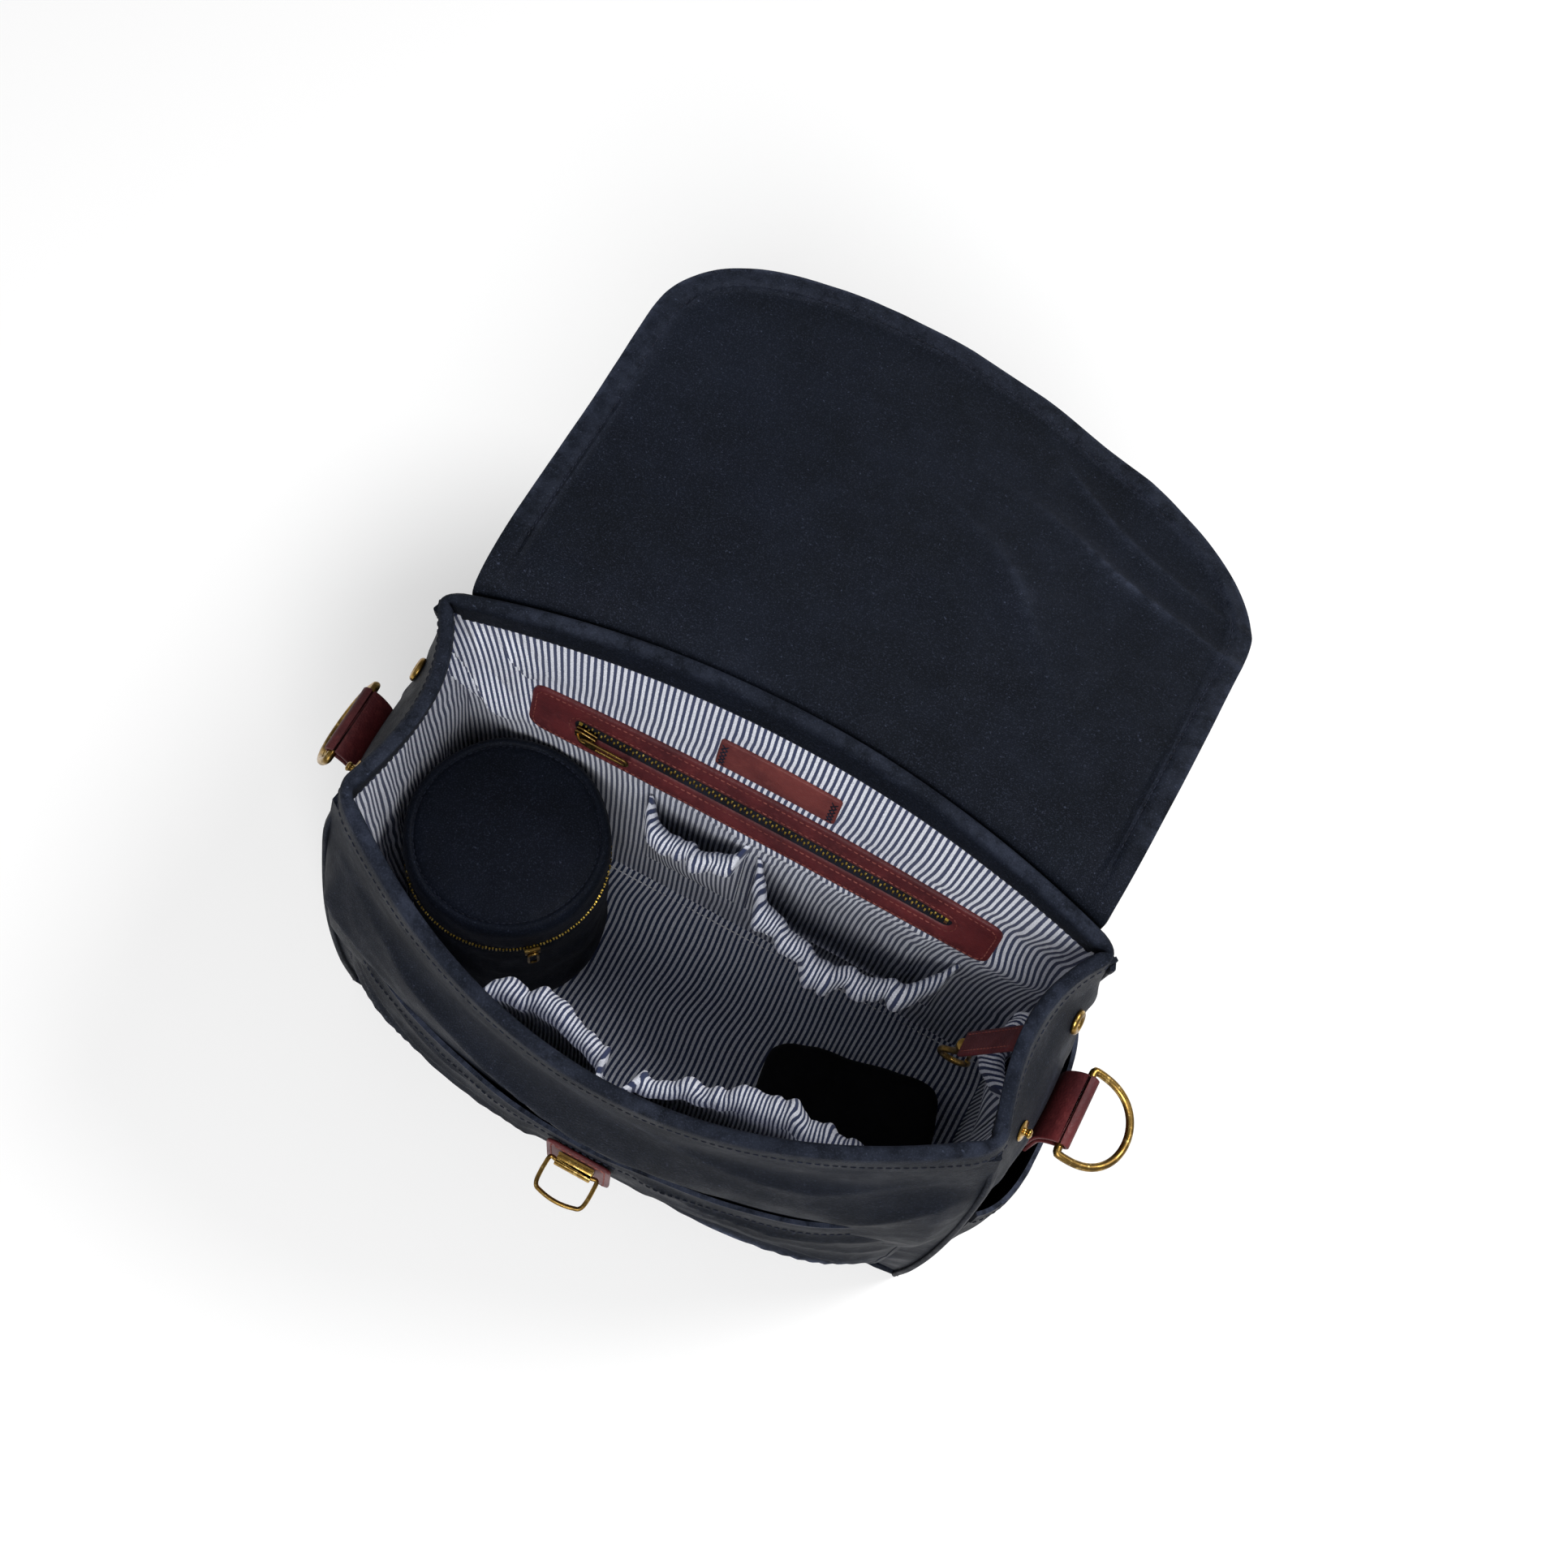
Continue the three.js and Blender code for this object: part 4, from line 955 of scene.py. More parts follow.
def rim_band():
    """Canvas folded over the mouth from outside to inside, with a row of stitches on each face."""
    steps = {"front": 110, "right": 56, "back": 110, "left": 56}
    places = []
    for side, count in steps.items():
        edge = 0.985 if side in ("front", "back") else 0.96
        places += [(side, s) for s in np.linspace(-edge, edge, count)]
    # Each point of the fold's section: how far up it is, and how far through from outside to inside.
    section = [(0.02, 0), (0.35, 0), (0.7, 0), (0.93, 0.03), (0.99, 0.25), (1, 0.5)]
    section += [(0.99, 0.75), (0.93, 0.97), (0.7, 1), (0.35, 1), (0.1, 1), (0.02, 0.93)]
    rings, flat = [], []
    walked = 0.0
    last = None
    for side, s in places:
        x, y = wall(side, s, RIM_FRONT)
        walked += 0 if last is None else math.hypot(x - last[0], y - last[1])
        last = (float(x), float(y))
        top = rim_height(y) + RIM_WAVE * float(soft_noise(np.array(walked / 60), np.array(0.5), 81))
        bottom = top - BAND_HEIGHT - 1.5
        puff = 0.5 + 0.5 * float(soft_noise(np.array(walked / 22), np.array(2.5), 82))
        ring = []
        for up, through in section:
            z = mix(bottom, top + 0.6, up)
            swell = puff * math.sin(math.pi * min(up, 0.98)) * RIM_PUFF
            inward = mix(-RIM_OUT - swell, LINING_GAP + LINING + 0.9 + swell, through)
            ring.append(on_wall(side, s, z, inward))
        rings.append(ring)
        flat.append([(walked, up * 18 + 20 * through, 0.3 * (up > 0.9) * puff) for up, through in section])
    rings = np.array(rings)
    shifts = range(-RIM_SMOOTHING, RIM_SMOOTHING + 1)
    rings = sum(np.roll(rings, shift, 0) for shift in shifts) / len(shifts)
    obj = closed_rings("mouth_facing", rings, CANVAS, flat)
    keep(obj, "bag", "rim_binding", slot=NAVY)
    runs = []
    for column, above, across in ((1, 2, 10), (10, 9, 1)):
        path = mix(rings[:, column], rings[:, above], 0.15)
        out = unit(path - rings[:, across])
        runs.append(stitches("run", path + out * 0.15, out, RIM_STITCH, closed=True))
    keep(join("mouth_stitching", runs), "bag")


rim_band()

# ---- gathered pockets in the lining
GATHER = 1.3  # how much wider a gathered pocket is cut than its place on the wall
PUCKER, WAVE = 2.6, 2.2  # depth of its fine puckers and of its slow waves
ROLL_TURN = math.pi * 1.72  # how far round the elastic top rolls


def gathered_pocket(name, node, side, span, heights, bulge, roll, seed):
    """A full pocket whose elastic top is scrunched into a soft roll."""
    low, high = heights
    base = (LINING_GAP if side == "right" else 0.0) + LINING + CURVED_CLEAR
    base += float(LINING_LEAN((low + high) / 2 + 36)) if side == "back_lining" else 0.0
    body_rows, roll_rows, columns = 46, 22, 200
    u = np.linspace(0, 1, columns + 1)
    ends = [along_wall(side, s, (low + high) / 2) for s in span]
    wide = abs(ends[1] - ends[0])
    cloth_x = u * wide * GATHER
    pucker = soft_noise(cloth_x / 13.0, 0 * u, seed) + 0.3 * soft_noise(cloth_x / 6.0, 0 * u + 3, seed + 1)
    slow = soft_noise(cloth_x / 34, 0 * u + 7, seed + 2)
    rows, flat = [], []

    def depth(v, grow):
        across = 1 - np.abs(2 * u - 1) ** 3
        up = math.sin(math.pi / 2 * min(1.25 * v, 1))
        pleat = grow * (PUCKER * pucker + WAVE * slow) * np.minimum(across * 2, 1)
        return base + LINING + bulge * across * up + np.maximum(pleat, -0.7 * bulge * across * up)

    for i in range(body_rows + 1):
        v = i / body_rows
        z = mix(low, high - 2 * roll, v)
        shift = 0.004 * pucker * v * v
        inward = depth(v, v**2.2)
        s = span[0] + (span[1] - span[0]) * np.clip(u + shift, 0, 1)
        rows.append(on_wall(side, s, z + WAVE * slow * v, inward))
        flat.append(stack(cloth_x + 1.2 * pucker * v**2, z, 0 * u))
    top = depth(1.0, 1.0)
    radius = roll * (1 + 0.26 * pucker + 0.14 * slow)
    for i in range(1, roll_rows + 1):
        turn = ROLL_TURN * i / roll_rows
        inward = top + radius * (1 - math.cos(turn)) * 0.9
        z = high - 2 * roll + WAVE * slow + radius * math.sin(turn) * 1.25
        twist = 1.2 * pucker + 1.8 * soft_noise(cloth_x / 17, 0 * u + turn, seed + 3)
        from_end = np.minimum(u, 1 - u) * 2 * 12
        inward = mix(base + LINING, inward, np.minimum(from_end, 1))
        rows.append(on_wall(side, span[0] + (span[1] - span[0]) * u, z, inward))
        flat.append(stack(cloth_x + twist, high + turn * roll, 0 * u))
    face, flat = np.array(rows), np.array(flat)
    obj = cloth_object(name, face, (flat[..., 0], flat[..., 1]), 0, ELASTIC_CLOTH, TICKING, back_side=-1)
    keep(obj, "bag", node, slot=LINED)


# Each pocket's piece, node, wall, reach along the wall, bottom and top, fullness, roll and seed.
for row in (
    ("back_left", "back_left", "back_lining", (0.02, 0.35), (52, 160), 13, 5.6, 90),
    ("back_right", "back_right", "back_lining", (-0.7, -0.02), (52, 152), 28, 6.2, 100),
    ("front_left", "front_left", "front_lining", (-0.5, -0.07), (70, 162), 10, 5.6, 110),
    ("front_right", "front_right", "front_lining", (0.01, 0.75), (62, 170), 14, 6.2, 120),
    ("gusset", "gusset_right", "right", (0.1, 0.78), (60, 167), 12, 6.2, 130),
):
    gathered_pocket(f"gathered_pocket_{row[0]}", f"pocket_{row[1]}", *row[2:])

# ---- inside zip and label
def on_back(x, z, lift):
    """A point in front of the back wall's lining: x along the wall, z up it."""
    x, z = np.broadcast_arrays(np.asarray(x, float), np.asarray(z, float))
    s = -x / (back_corner_x(z) - LINING_GAP)
    return on_wall("back_lining", s, z, LINING + lift + LINING_LEAN(z) * smooth(1.0, 0.86, np.abs(s)))


def rounded_outline(half_x, half_y, corner, step=1.5):
    """Points about a rectangle with rounded corners, anticlockwise."""
    points = []
    for cx, cy, start in ((1, -1, -90), (1, 1, 0), (-1, 1, 90), (-1, -1, 180)):
        count = max(4, int(corner * math.pi / 2 / step))
        for k in range(count + 1):
            angle = math.radians(start + 90 * k / count)
            x = cx * (half_x - corner) + corner * math.cos(angle)
            points.append((x, cy * (half_y - corner) + corner * math.sin(angle)))
    return read_path(*resample(points, step, closed=True))


def match(outline, count):
    """An outline again, with a given number of points."""
    _, lengths, path = resample(outline, 1.0, closed=True)
    where = (np.arange(count) + 0.5) * lengths[-1] / count
    return read_path(where, lengths, path)


def zip_frame():
    count = 300
    outer = match(rounded_outline(TRIM_HALF, TRIM_HALF_HEIGHT, TRIM_CORNER), count)
    inner = match(rounded_outline(ZIP_HALF, 4.0, 3.8), count)
    # How far in from the outer edge to the inner one, and how far off the lining.
    rows = [(0, 0.2), (0, 1.5), (0.035, 2.0), (0.1, 2.2), (0.5, 2.25)]
    rows += [(0.88, 2.2), (0.965, 2.0), (1, 1.5), (1, 0.2)]
    rings = []
    for share, lift in rows:
        place = mix(outer, inner, share)
        rings.append(on_back(place[:, 0], ZIP_HEIGHT + place[:, 1], lift))
    obj = closed_rings("zip_leather_frame", np.array(rings), LEATHER)
    keep(obj, "bag", "zip_trim", slot=BROWN)
    runs = []
    seam = 2.6
    sewn = ((TRIM_HALF - seam, TRIM_HALF_HEIGHT - seam, 5), (ZIP_HALF + seam, 6.6, 6))
    for half_x, half_y, corner in sewn:
        line = rounded_outline(half_x, half_y, corner)
        path = on_back(line[:, 0], ZIP_HEIGHT + line[:, 1], 2.35)
        front = on_back(line[:, 0], ZIP_HEIGHT + line[:, 1], 3.35)
        runs.append(stitches("run", path, front - path, TRIM_STITCH, closed=True))
    keep(join("zip_frame_stitching", runs), "bag")


zip_frame()


def zip_teeth():
    u, v = grid(80, 8)
    x, z = mix(-ZIP_HALF - 1, ZIP_HALF + 1, u), mix(-5.2, 5.2, v)
    face = on_back(x, ZIP_HEIGHT + z, 0.75)
    tape = cloth_object("zip_tape_cloth", face, (x, z), 0, 0.6, TAPE, back_side=-1)
    keep(tape, "bag", "zip_teeth")
    count = int(2 * (ZIP_HALF - 5) / TOOTH_PITCH)
    x = (np.arange(count) - (count - 1) / 2) * TOOTH_PITCH
    hand = np.where(np.arange(count) % 2 == 0, 1.0, -1.0)
    centres = on_back(x, ZIP_HEIGHT + hand * 0.95, 1.35)
    along = unit(on_back(x + 1, ZIP_HEIGHT, 1.0) - on_back(x - 1, ZIP_HEIGHT, 1.0))
    front = unit(on_back(x, ZIP_HEIGHT, 2.0) - on_back(x, ZIP_HEIGHT, 1.0))
    axes = np.stack((along, np.cross(front, along), front), 1)
    teeth = boxes_object("zip_brass_teeth", centres, axes, (0.95, 3.0, 1.3), GOLD_TEETH, 0.75)
    keep(teeth, "bag", slot=GOLDEN)
    stops = []
    for end in (-1, 1):
        at = on_back(np.array([end * (ZIP_HALF - 3.2)]), np.array([ZIP_HEIGHT]), 1.3)
        stop_axes = axes[:1] if end < 0 else axes[-1:]
        stops.append(boxes_object("stop", at, stop_axes, (2.2, 5.4, 1.7), GOLD_TEETH, 0.8))
    keep(join("zip_end_stops", stops), "bag", slot=GOLDEN)


zip_teeth()


def leather_label():
    half_x, half_z = LABEL["half"]
    line = rounded_outline(half_x, half_z, 1.6)
    rows = [(1, 0.3), (1, 1.3), (0.985, 1.75), (0.94, 1.9), (0.5, 1.95), (0.02, 1.95)]
    rings = [on_back(line[:, 0] * k, LABEL["z"] + line[:, 1] * k, lift) for k, lift in rows]
    rings.append(on_back(line[:, 0] * 0.02, LABEL["z"] + line[:, 1] * 0.02, 0.3))
    obj = closed_rings("plain_leather_label", np.array(rings), LABEL_LEATHER)
    keep(obj, "bag", "leather_label", slot=BROWN)
    runs = []
    for x in (-half_x + 3, half_x - 3):
        for k in range(5):
            z = LABEL["z"] + mix(-half_z + 2.6, half_z - 2.6, (k + 0.5) / 5)
            for slope in (-1, 1):
                ends_x = np.array([x - 1.3, x + 1.3])
                ends_z = z + slope * np.array([-1.5, 1.5])
                path = on_back(ends_x, ends_z, 2.1)
                front = on_back(ends_x, ends_z, 3.1) - path
                runs.append(stitches("run", path, front, LABEL_STITCH))
    keep(join("label_cross_stitches", runs), "bag")


leather_label()


def zip_slider():
    middle = node_middle("zip_slider")
    runs = []
    x = np.linspace(-5.6, 5.6, 14)
    half = np.interp(x, [-5.6, -2, 5.6], [3.2, 4.1, 2.6])
    for front in (1.0, -0.9):
        section = np.array([strap_section(2 * h, 1.1, 0.45) for h in half])
        runs.append(sweep("plate", middle + stack(x, front, 0), section, BRASS, hint=(0, -1, 0)))
    x = np.linspace(-4.2, 4.2, 16)
    rise = -1.3 - 2.7 * np.sin(math.pi * (x + 4.2) / 8.4) ** 0.7
    bridge = middle + stack(x, rise, 0)
    runs.append(sweep("bridge", bridge, strap_section(2.6, 1.0, 0.4), BRASS, hint=(0, -1, 0)))
    keep(join("zip_slider_brass", runs), "zip_slider", "zip_slider", slot=GOLDEN)


zip_slider()


def zip_pull():
    low, high = node_corners("zip_puller")
    middle = (low + high) / 2
    half_x, half_z = (high[0] - low[0]) / 2, (high[2] - low[2]) / 2
    wire = 1.05
    line = rounded_outline(half_x - wire, half_z - wire * 0.9, 2.6, 0.8)
    path = middle + stack(line[:, 0], 0, line[:, 1])
    ring = sweep("ring", path, round_section(wire, 12, 0.72), BRASS, closed=True, hint=(0, 1, 0))
    path = [middle + (-half_x + x, 0, 0) for x in np.linspace(0.6, 9, 10)]
    section = np.array([strap_section(2 * h, 1.3, 0.5) for h in np.linspace(2.4, 3.3, 10)])
    shank = sweep("shank", path, section, BRASS, hint=(0, 1, 0))
    keep(join("zip_pull_ring", [ring, shank]), "zip_puller", "zip_puller", slot=GOLDEN)


zip_pull()

# ---- flap
HINGE_Y, HINGE_Z, SLOPE = 91, 291, 14  # the slope is in degrees below level
FLAP_LENGTH, FLAP_FOLD, CORNER_START = 246, 202, 150  # distances from the hinge
FLAP_HALF_WIDTH, FLAP_FLARE, FLARE_END = 162, 12, 170  # it widens by the flare on each side
FLAP_HALF = 170  # half its usual width, where its right side hangs lower
FLAP_THICKNESS = 2.4
FLAP_CUT = 178  # where the rear part's cloth meets the front part's
HEM = 13  # width of the hem
HEM_SETTLE, HEM_PROUD, HEM_GROOVE = 0.4, 1.7, 1.5  # how the hem lies against the flap's face
LEATHER_MIDDLE = 226  # the middle of the leather and the hook under it
STRIP_FLAT, TURN_FLAT = 26, 42  # cloth from the hinge strip's top to the hinge, and round it


def flap_half_width(along):
    side = FLAP_HALF_WIDTH + FLAP_FLARE * np.minimum(along, FLARE_END) / FLARE_END
    past = np.maximum(0, (along - CORNER_START) / (FLAP_LENGTH - CORNER_START))
    return side * np.sqrt(np.maximum(0, 1 - past**2.6))


def flap_edge():
    along = FLAP_LENGTH * np.sin(np.linspace(0, math.pi / 2, 400))
    half = flap_half_width(along)
    right = np.stack((half, along), -1)
    left = np.stack((-half, along), -1)[::-1]
    return np.concatenate((right, left))


FLAP_EDGE = flap_edge()


def from_flap_edge(x, along):
    """Distance of each place on the flap from its cut edge."""
    flat_x, flat_a = x.reshape(-1), along.reshape(-1)
    nearest = np.full(flat_x.shape, 1e9)
    for px, pa in FLAP_EDGE[::3]:
        nearest = np.minimum(nearest, (flat_x - px) ** 2 + (flat_a - pa) ** 2)
    return np.sqrt(nearest).reshape(x.shape)


def flap_place(x, along, lift):
    """A place on the thrown-back flap, `lift` above its plane; its right side hangs steeper."""
    tilt = x / FLAP_HALF
    grow = smooth(0, 200, along)
    reach = along * (1 - 0.05 * tilt * grow)
    slope = np.radians(SLOPE + 3.2 * tilt * grow)
    return stack(
        x - 3.0 * grow * tilt,
        HINGE_Y + reach * np.cos(slope) + lift * np.sin(slope),
        HINGE_Z - reach * np.sin(slope) + lift * np.cos(slope),
    )


def flap_relief(x, along):
    """The waves and creases of the flap, and its lighter crest marks: crease wear and a painted highlight
    that grows towards the right side.
    """
    free = smooth(6, 60, along)
    wave = 3.4 * soft_noise(x / 130 + 3, along / 110, 141) + 1.6 * soft_noise(x / 55, along / 70, 142)
    ripple = folds(x + 0.8 * along, along, 74, 0.45, 145)
    strength = smooth(-40, 90, x) * smooth(30, 90, along)
    lift = free * (wave + 3.2 * strength * ripple**1.5 + 0.6 * crumple(x, along, 147, 24))
    on_leather = smooth(78, 22, np.abs(x)) * smooth(80, 20, np.abs(along - LEATHER_MIDDLE))
    lift = mix(lift, np.maximum(lift, 0.4), on_leather)
    # the crest marks are strongest towards the flap's right side: painted light for the brighter right side,
    # over crease wear
    return np.clip(lift, -5.5, 7), 0.55 * strength * ripple**4


def flap_face(x, along):
    lift, wear_and_highlight = flap_relief(x, along)
    edge = from_flap_edge(x, along)
    hem = 1 - smooth(HEM - 1.3, HEM + 0.7, edge)
    side_hem = hem * smooth(-2, 8, along)
    groove = np.exp(-(((edge - HEM + 2.6) / 1.1) ** 2)) * smooth(-2, 8, along)
    lift = lift - HEM_SETTLE + HEM_PROUD * side_hem - HEM_GROOVE * groove
    # the hem and its edge are painted lighter: rubbed wear and a painted highlight
    return flap_place(x, along, lift), wear_and_highlight + 0.2 * smooth(3.0, 0.5, edge) + 0.1 * side_hem


def hinge_rows(columns):
    """The strip that climbs the back wall and turns over into the flap."""
    u = np.linspace(-1, 1, columns + 1)
    rows, flat = [], []
    start_low, start_high, join_along = 262.0, 281.0, 16.0
    x = FLAP_HALF_WIDTH * 0.985 * u
    s = -x / back_corner_x(start_high)
    for z in np.linspace(start_low, start_high, 6):
        rows.append(on_wall("back", s, np.full_like(x, z), -3.1))
        flat.append((x, z - start_high - STRIP_FLAT))
    target, _ = flap_face(flap_half_width(np.array(join_along)) * u, np.full_like(x, join_along))
    ahead, _ = flap_face(flap_half_width(np.array(join_along + 4)) * u, np.full_like(x, join_along + 4))
    first = rows[-1]
    gap = np.linalg.norm(target - first, axis=1, keepdims=True)
    lean = unit(rows[-1] - rows[-2])
    enter = unit(ahead - target)
    for t in np.linspace(0, 1, 17)[1:-1]:
        a, b = first + lean * gap * 0.32, target - enter * gap * 0.42
        point = (1 - t) ** 3 * first + 3 * (1 - t) ** 2 * t * a + 3 * (1 - t) * t * t * b + t**3 * target
        point[:, 2] += 1.0 * soft_noise(x / 26, 0 * x + 3, 151) * math.sin(math.pi * t)
        rows.append(point)
        flat.append((x, -STRIP_FLAT + TURN_FLAT * t))
    return np.array(rows), flat, join_along


def flap_grid(first, last, rows, columns, easing=False):
    """The face of the flap between two distances from its hinge, its flat grid and its wear and painted
    highlight.
    """
    t = np.linspace(0, 1, rows + 1)
    if easing:
        t = np.sin(math.pi / 2 * t)
    along = mix(first, last, t)[:, None] * np.ones(columns + 1)
    half = np.maximum(flap_half_width(along), 3.0)
    x = half * np.linspace(-1, 1, columns + 1)
    face, wear_and_highlight = flap_face(x, along)
    return face, (x, along), wear_and_highlight


def flap_rear():
    columns = 190
    strip, strip_flat, start = hinge_rows(columns)
    face, (x, along), wear_and_highlight = flap_grid(start, FLAP_CUT, 96, columns)
    face = np.concatenate((strip, face))
    flat_x = np.concatenate((np.array([f[0] for f in strip_flat]), x))
    flat_y = np.concatenate((np.array([f[1] + 0 * x[0] for f in strip_flat]), along))
    wear_and_highlight = np.concatenate((np.zeros(strip.shape[:2]), wear_and_highlight))
    obj = cloth_object("flap_cloth_rear", face, (flat_x, flat_y), wear_and_highlight, FLAP_THICKNESS, CANVAS)
    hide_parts("flap_rear_panel")
    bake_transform(obj)


def flap_front():
    face, flat, wear_and_highlight = flap_grid(FLAP_CUT, FLAP_LENGTH - 0.6, 60, 190, easing=True)
    obj = cloth_object("flap_cloth_front", face, flat, wear_and_highlight, FLAP_THICKNESS, CANVAS)
    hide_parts("flap_front_panel")
    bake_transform(obj)


def flap_stitching():
    """Stitches along the hem, in one run for each of the flap's two parts."""
    line = FLAP_EDGE.copy()
    inward = unit(np.array([0, 110.0]) - line)
    tangent = unit(np.gradient(line, axis=0))
    normal = np.stack((-tangent[:, 1], tangent[:, 0]), -1)
    normal *= np.sign((normal * inward).sum(1, keepdims=True))
    line = line + normal * (HEM - 2.4)
    for name, body, part in (
        ("rear_right", "flap_rear", (line[:, 0] > 0) & (line[:, 1] < FLAP_CUT) & (line[:, 1] > 8)),
        ("front", "flap_front", line[:, 1] > FLAP_FOLD + 14),
        ("rear_left", "flap_rear", (line[:, 0] < 0) & (line[:, 1] < FLAP_CUT) & (line[:, 1] > 8)),
    ):
        chosen = line[part]
        x, along = chosen[:, 0], chosen[:, 1]
        face, _ = flap_face(x, along)
        lifted = flap_place(x, along, 1.0) - flap_place(x, along, 0.0)
        keep(stitches(f"flap_stitching_{name}", face + lifted * 0.3, lifted, FLAP_STITCH), body)


flap_rear()
flap_front()
flap_stitching()

# ---- shapes for the hardware
def curve_through(points, step=0.8, closed=False):
    """A smooth path through a few points, evenly spaced."""
    p = np.array(points, float)
    count = len(p)
    dense = []
    last = count if closed else count - 1
    for i in range(last):
        near = p[i]
        far = p[(i + 1) % count]
        before = p[(i - 1) % count] if closed or i > 0 else near
        after = p[(i + 2) % count] if closed or i + 2 < count else far
        for t in np.linspace(0, 1, 12, endpoint=False):
            dense.append(
                0.5 * (2 * near + (far - before) * t + (2 * before - 5 * near + 4 * far - after) * t * t
                       + (3 * near - before - 3 * far + after) * t**3)
            )
    if not closed:
        dense.append(p[-1])
    _, lengths, path = resample(dense, step, closed)
    count = max(6, int(lengths[-1] / step))
    return read_path(np.linspace(0, lengths[-1], count, endpoint=not closed), lengths, path)


def slab(name, outline, near, far, material, matrix, edge=0.5):
    """A flat plate: an outline in its own x and y, from one height to another, with soft edges."""
    outline = np.array(outline, float)
    centre = outline.mean(0)
    extent = np.abs(outline - centre).max()
    levels = [(0.02, near), (1 - edge / extent, near), (1, near + edge), (1, far - edge)]
    levels += [(1 - 0.3 * edge / extent, far - 0.3 * edge), (1 - edge / extent, far)]
    levels += [(0.5, far), (0.02, far)]
    rings = np.array([stack(*(centre + (outline - centre) * k).T, h) for k, h in levels])
    count = len(outline)
    faces = quads(len(rings), count, wrap_columns=True)
    faces += [list(range(count))[::-1], list(range((len(rings) - 1) * count, len(rings) * count))]
    obj = make_object(name, apply(matrix, rings.reshape(-1, 3)), faces, material, sharp=60)
    face_outwards(obj)
    return obj


def axes_matrix(x, y, z, at):
    m = Matrix.Identity(4)
    for column, vector in enumerate((x, y, z, at)):
        for row in range(3):
            m[row][column] = vector[row]
    return m


# ---- D-rings and their leather
RING_BAR = {"x": 194, "y": 4, "z": 213}  # the middle of the right ring's bar
RING_INSIDE, RING_WIRE, RING_DEPTH = 38, 2.0, 30  # the wire is given by its radius
RING_BEND = 2.5  # the bend between the bar and the bow
TAB_REACH, TAB_WIDTH, TAB_SEAM = 12, 36, 2.8  # from the bar to the wall, the strap, its stitches


def mirrored(points, hand):
    return np.asarray(points, float) * np.array([hand, 1, 1])


def leather_tab(name, hand):
    """A strap that runs up the wall, round the ring's bar and back down under itself."""
    side = RING_WIRE + 1.35
    bar_x, bar_z = RING_BAR["x"], RING_BAR["z"]
    back = bar_x - TAB_REACH
    bend = np.radians(np.linspace(112, -75, 12))
    points = [(back + 1.1, 171.4), (back + 1.1, 185), (back + 1.2, 197), (back + 2.6, 206)]
    points += [(back + 6.6, 213.2)]
    points += [(bar_x + side * math.cos(a), bar_z + side * math.sin(a)) for a in bend]
    points += [(back + 7.2, 205.0), (back + 3.9, 199.5), (back + 3.3, 190), (back + 3.3, 171.4)]
    path = mirrored(curve_through([(x, RING_BAR["y"], z) for x, z in points], 1.2), hand)
    section = strap_section(TAB_WIDTH, 2.0, 0.8)
    strap = sweep(f"ring_leather_{name}", path, section, LEATHER, hint=(hand, 0, 0.2))
    keep(strap, "bag", f"dring_tab_{name}", slot=BROWN)
    runs = []
    x = back + 4.35
    for y in (-TAB_WIDTH / 2 + TAB_SEAM, TAB_WIDTH / 2 - TAB_SEAM):
        line = [(x, RING_BAR["y"] + y, z) for z in np.linspace(172.6, 197, 30)]
        runs.append(stitches("run", mirrored(line, hand), (hand, 0, 0), LEATHER_STITCH))
    keep(join(f"ring_leather_stitching_{name}", runs), "bag")


def d_ring(name, hand, tilt):
    """Round wire: a straight bar and a bow, hanging `tilt` degrees below level."""
    half = RING_INSIDE / 2 + RING_WIRE
    local = [(0, mix(half, -half, t), 0) for t in np.linspace(0, 1, 7)]
    for angle in np.linspace(-math.pi / 2, math.pi / 2, 21):
        reach = RING_BEND + (RING_DEPTH - RING_BEND) * math.cos(angle) ** 0.8
        local.append((reach, (half + 1) * math.sin(angle), 0))
    local = np.array(local)
    turn = math.radians(tilt)
    x = RING_BAR["x"] + local[:, 0] * math.cos(turn)
    z = RING_BAR["z"] - local[:, 0] * math.sin(turn)
    world = stack(x, RING_BAR["y"] + local[:, 1], z)
    path = curve_through(mirrored(world, hand), 1.0, closed=True)
    hint = (hand * math.sin(turn), 0, math.cos(turn))
    ring = sweep(f"d_ring_{name}", path, round_section(RING_WIRE, 18), BRASS, closed=True, hint=hint)
    keep(ring, f"dring_{name}", f"dring_{name}", slot=GOLDEN)


DOME = [(0, 0.1), (3.5, 0.1), (3.6, 0.45), (3.3, 0.95), (2.4, 1.5), (1.2, 1.8), (0, 1.9)]
for ring_name, ring_hand, ring_tilt in (("right", 1, 18), ("left", -1, 66)):
    leather_tab(ring_name, ring_hand)
    d_ring(ring_name, ring_hand, ring_tilt)
    for rivet in (1, 2):
        node = f"tab_rivet_{ring_name}_{rivet}"
        centre = node_middle(node)
        low, high = node_corners(node)
        seat = (high if ring_hand < 0 else low)[0] - 0.2 * ring_hand
        place = (seat, centre[1], centre[2])
        turn_to = axes_matrix((0, 1, 0), (0, 0, ring_hand), (ring_hand, 0, 0), place)
        keep(lathe(f"{node}_dome", DOME, BRASS, turn_to, 28), "bag", node, slot=GOLDEN)

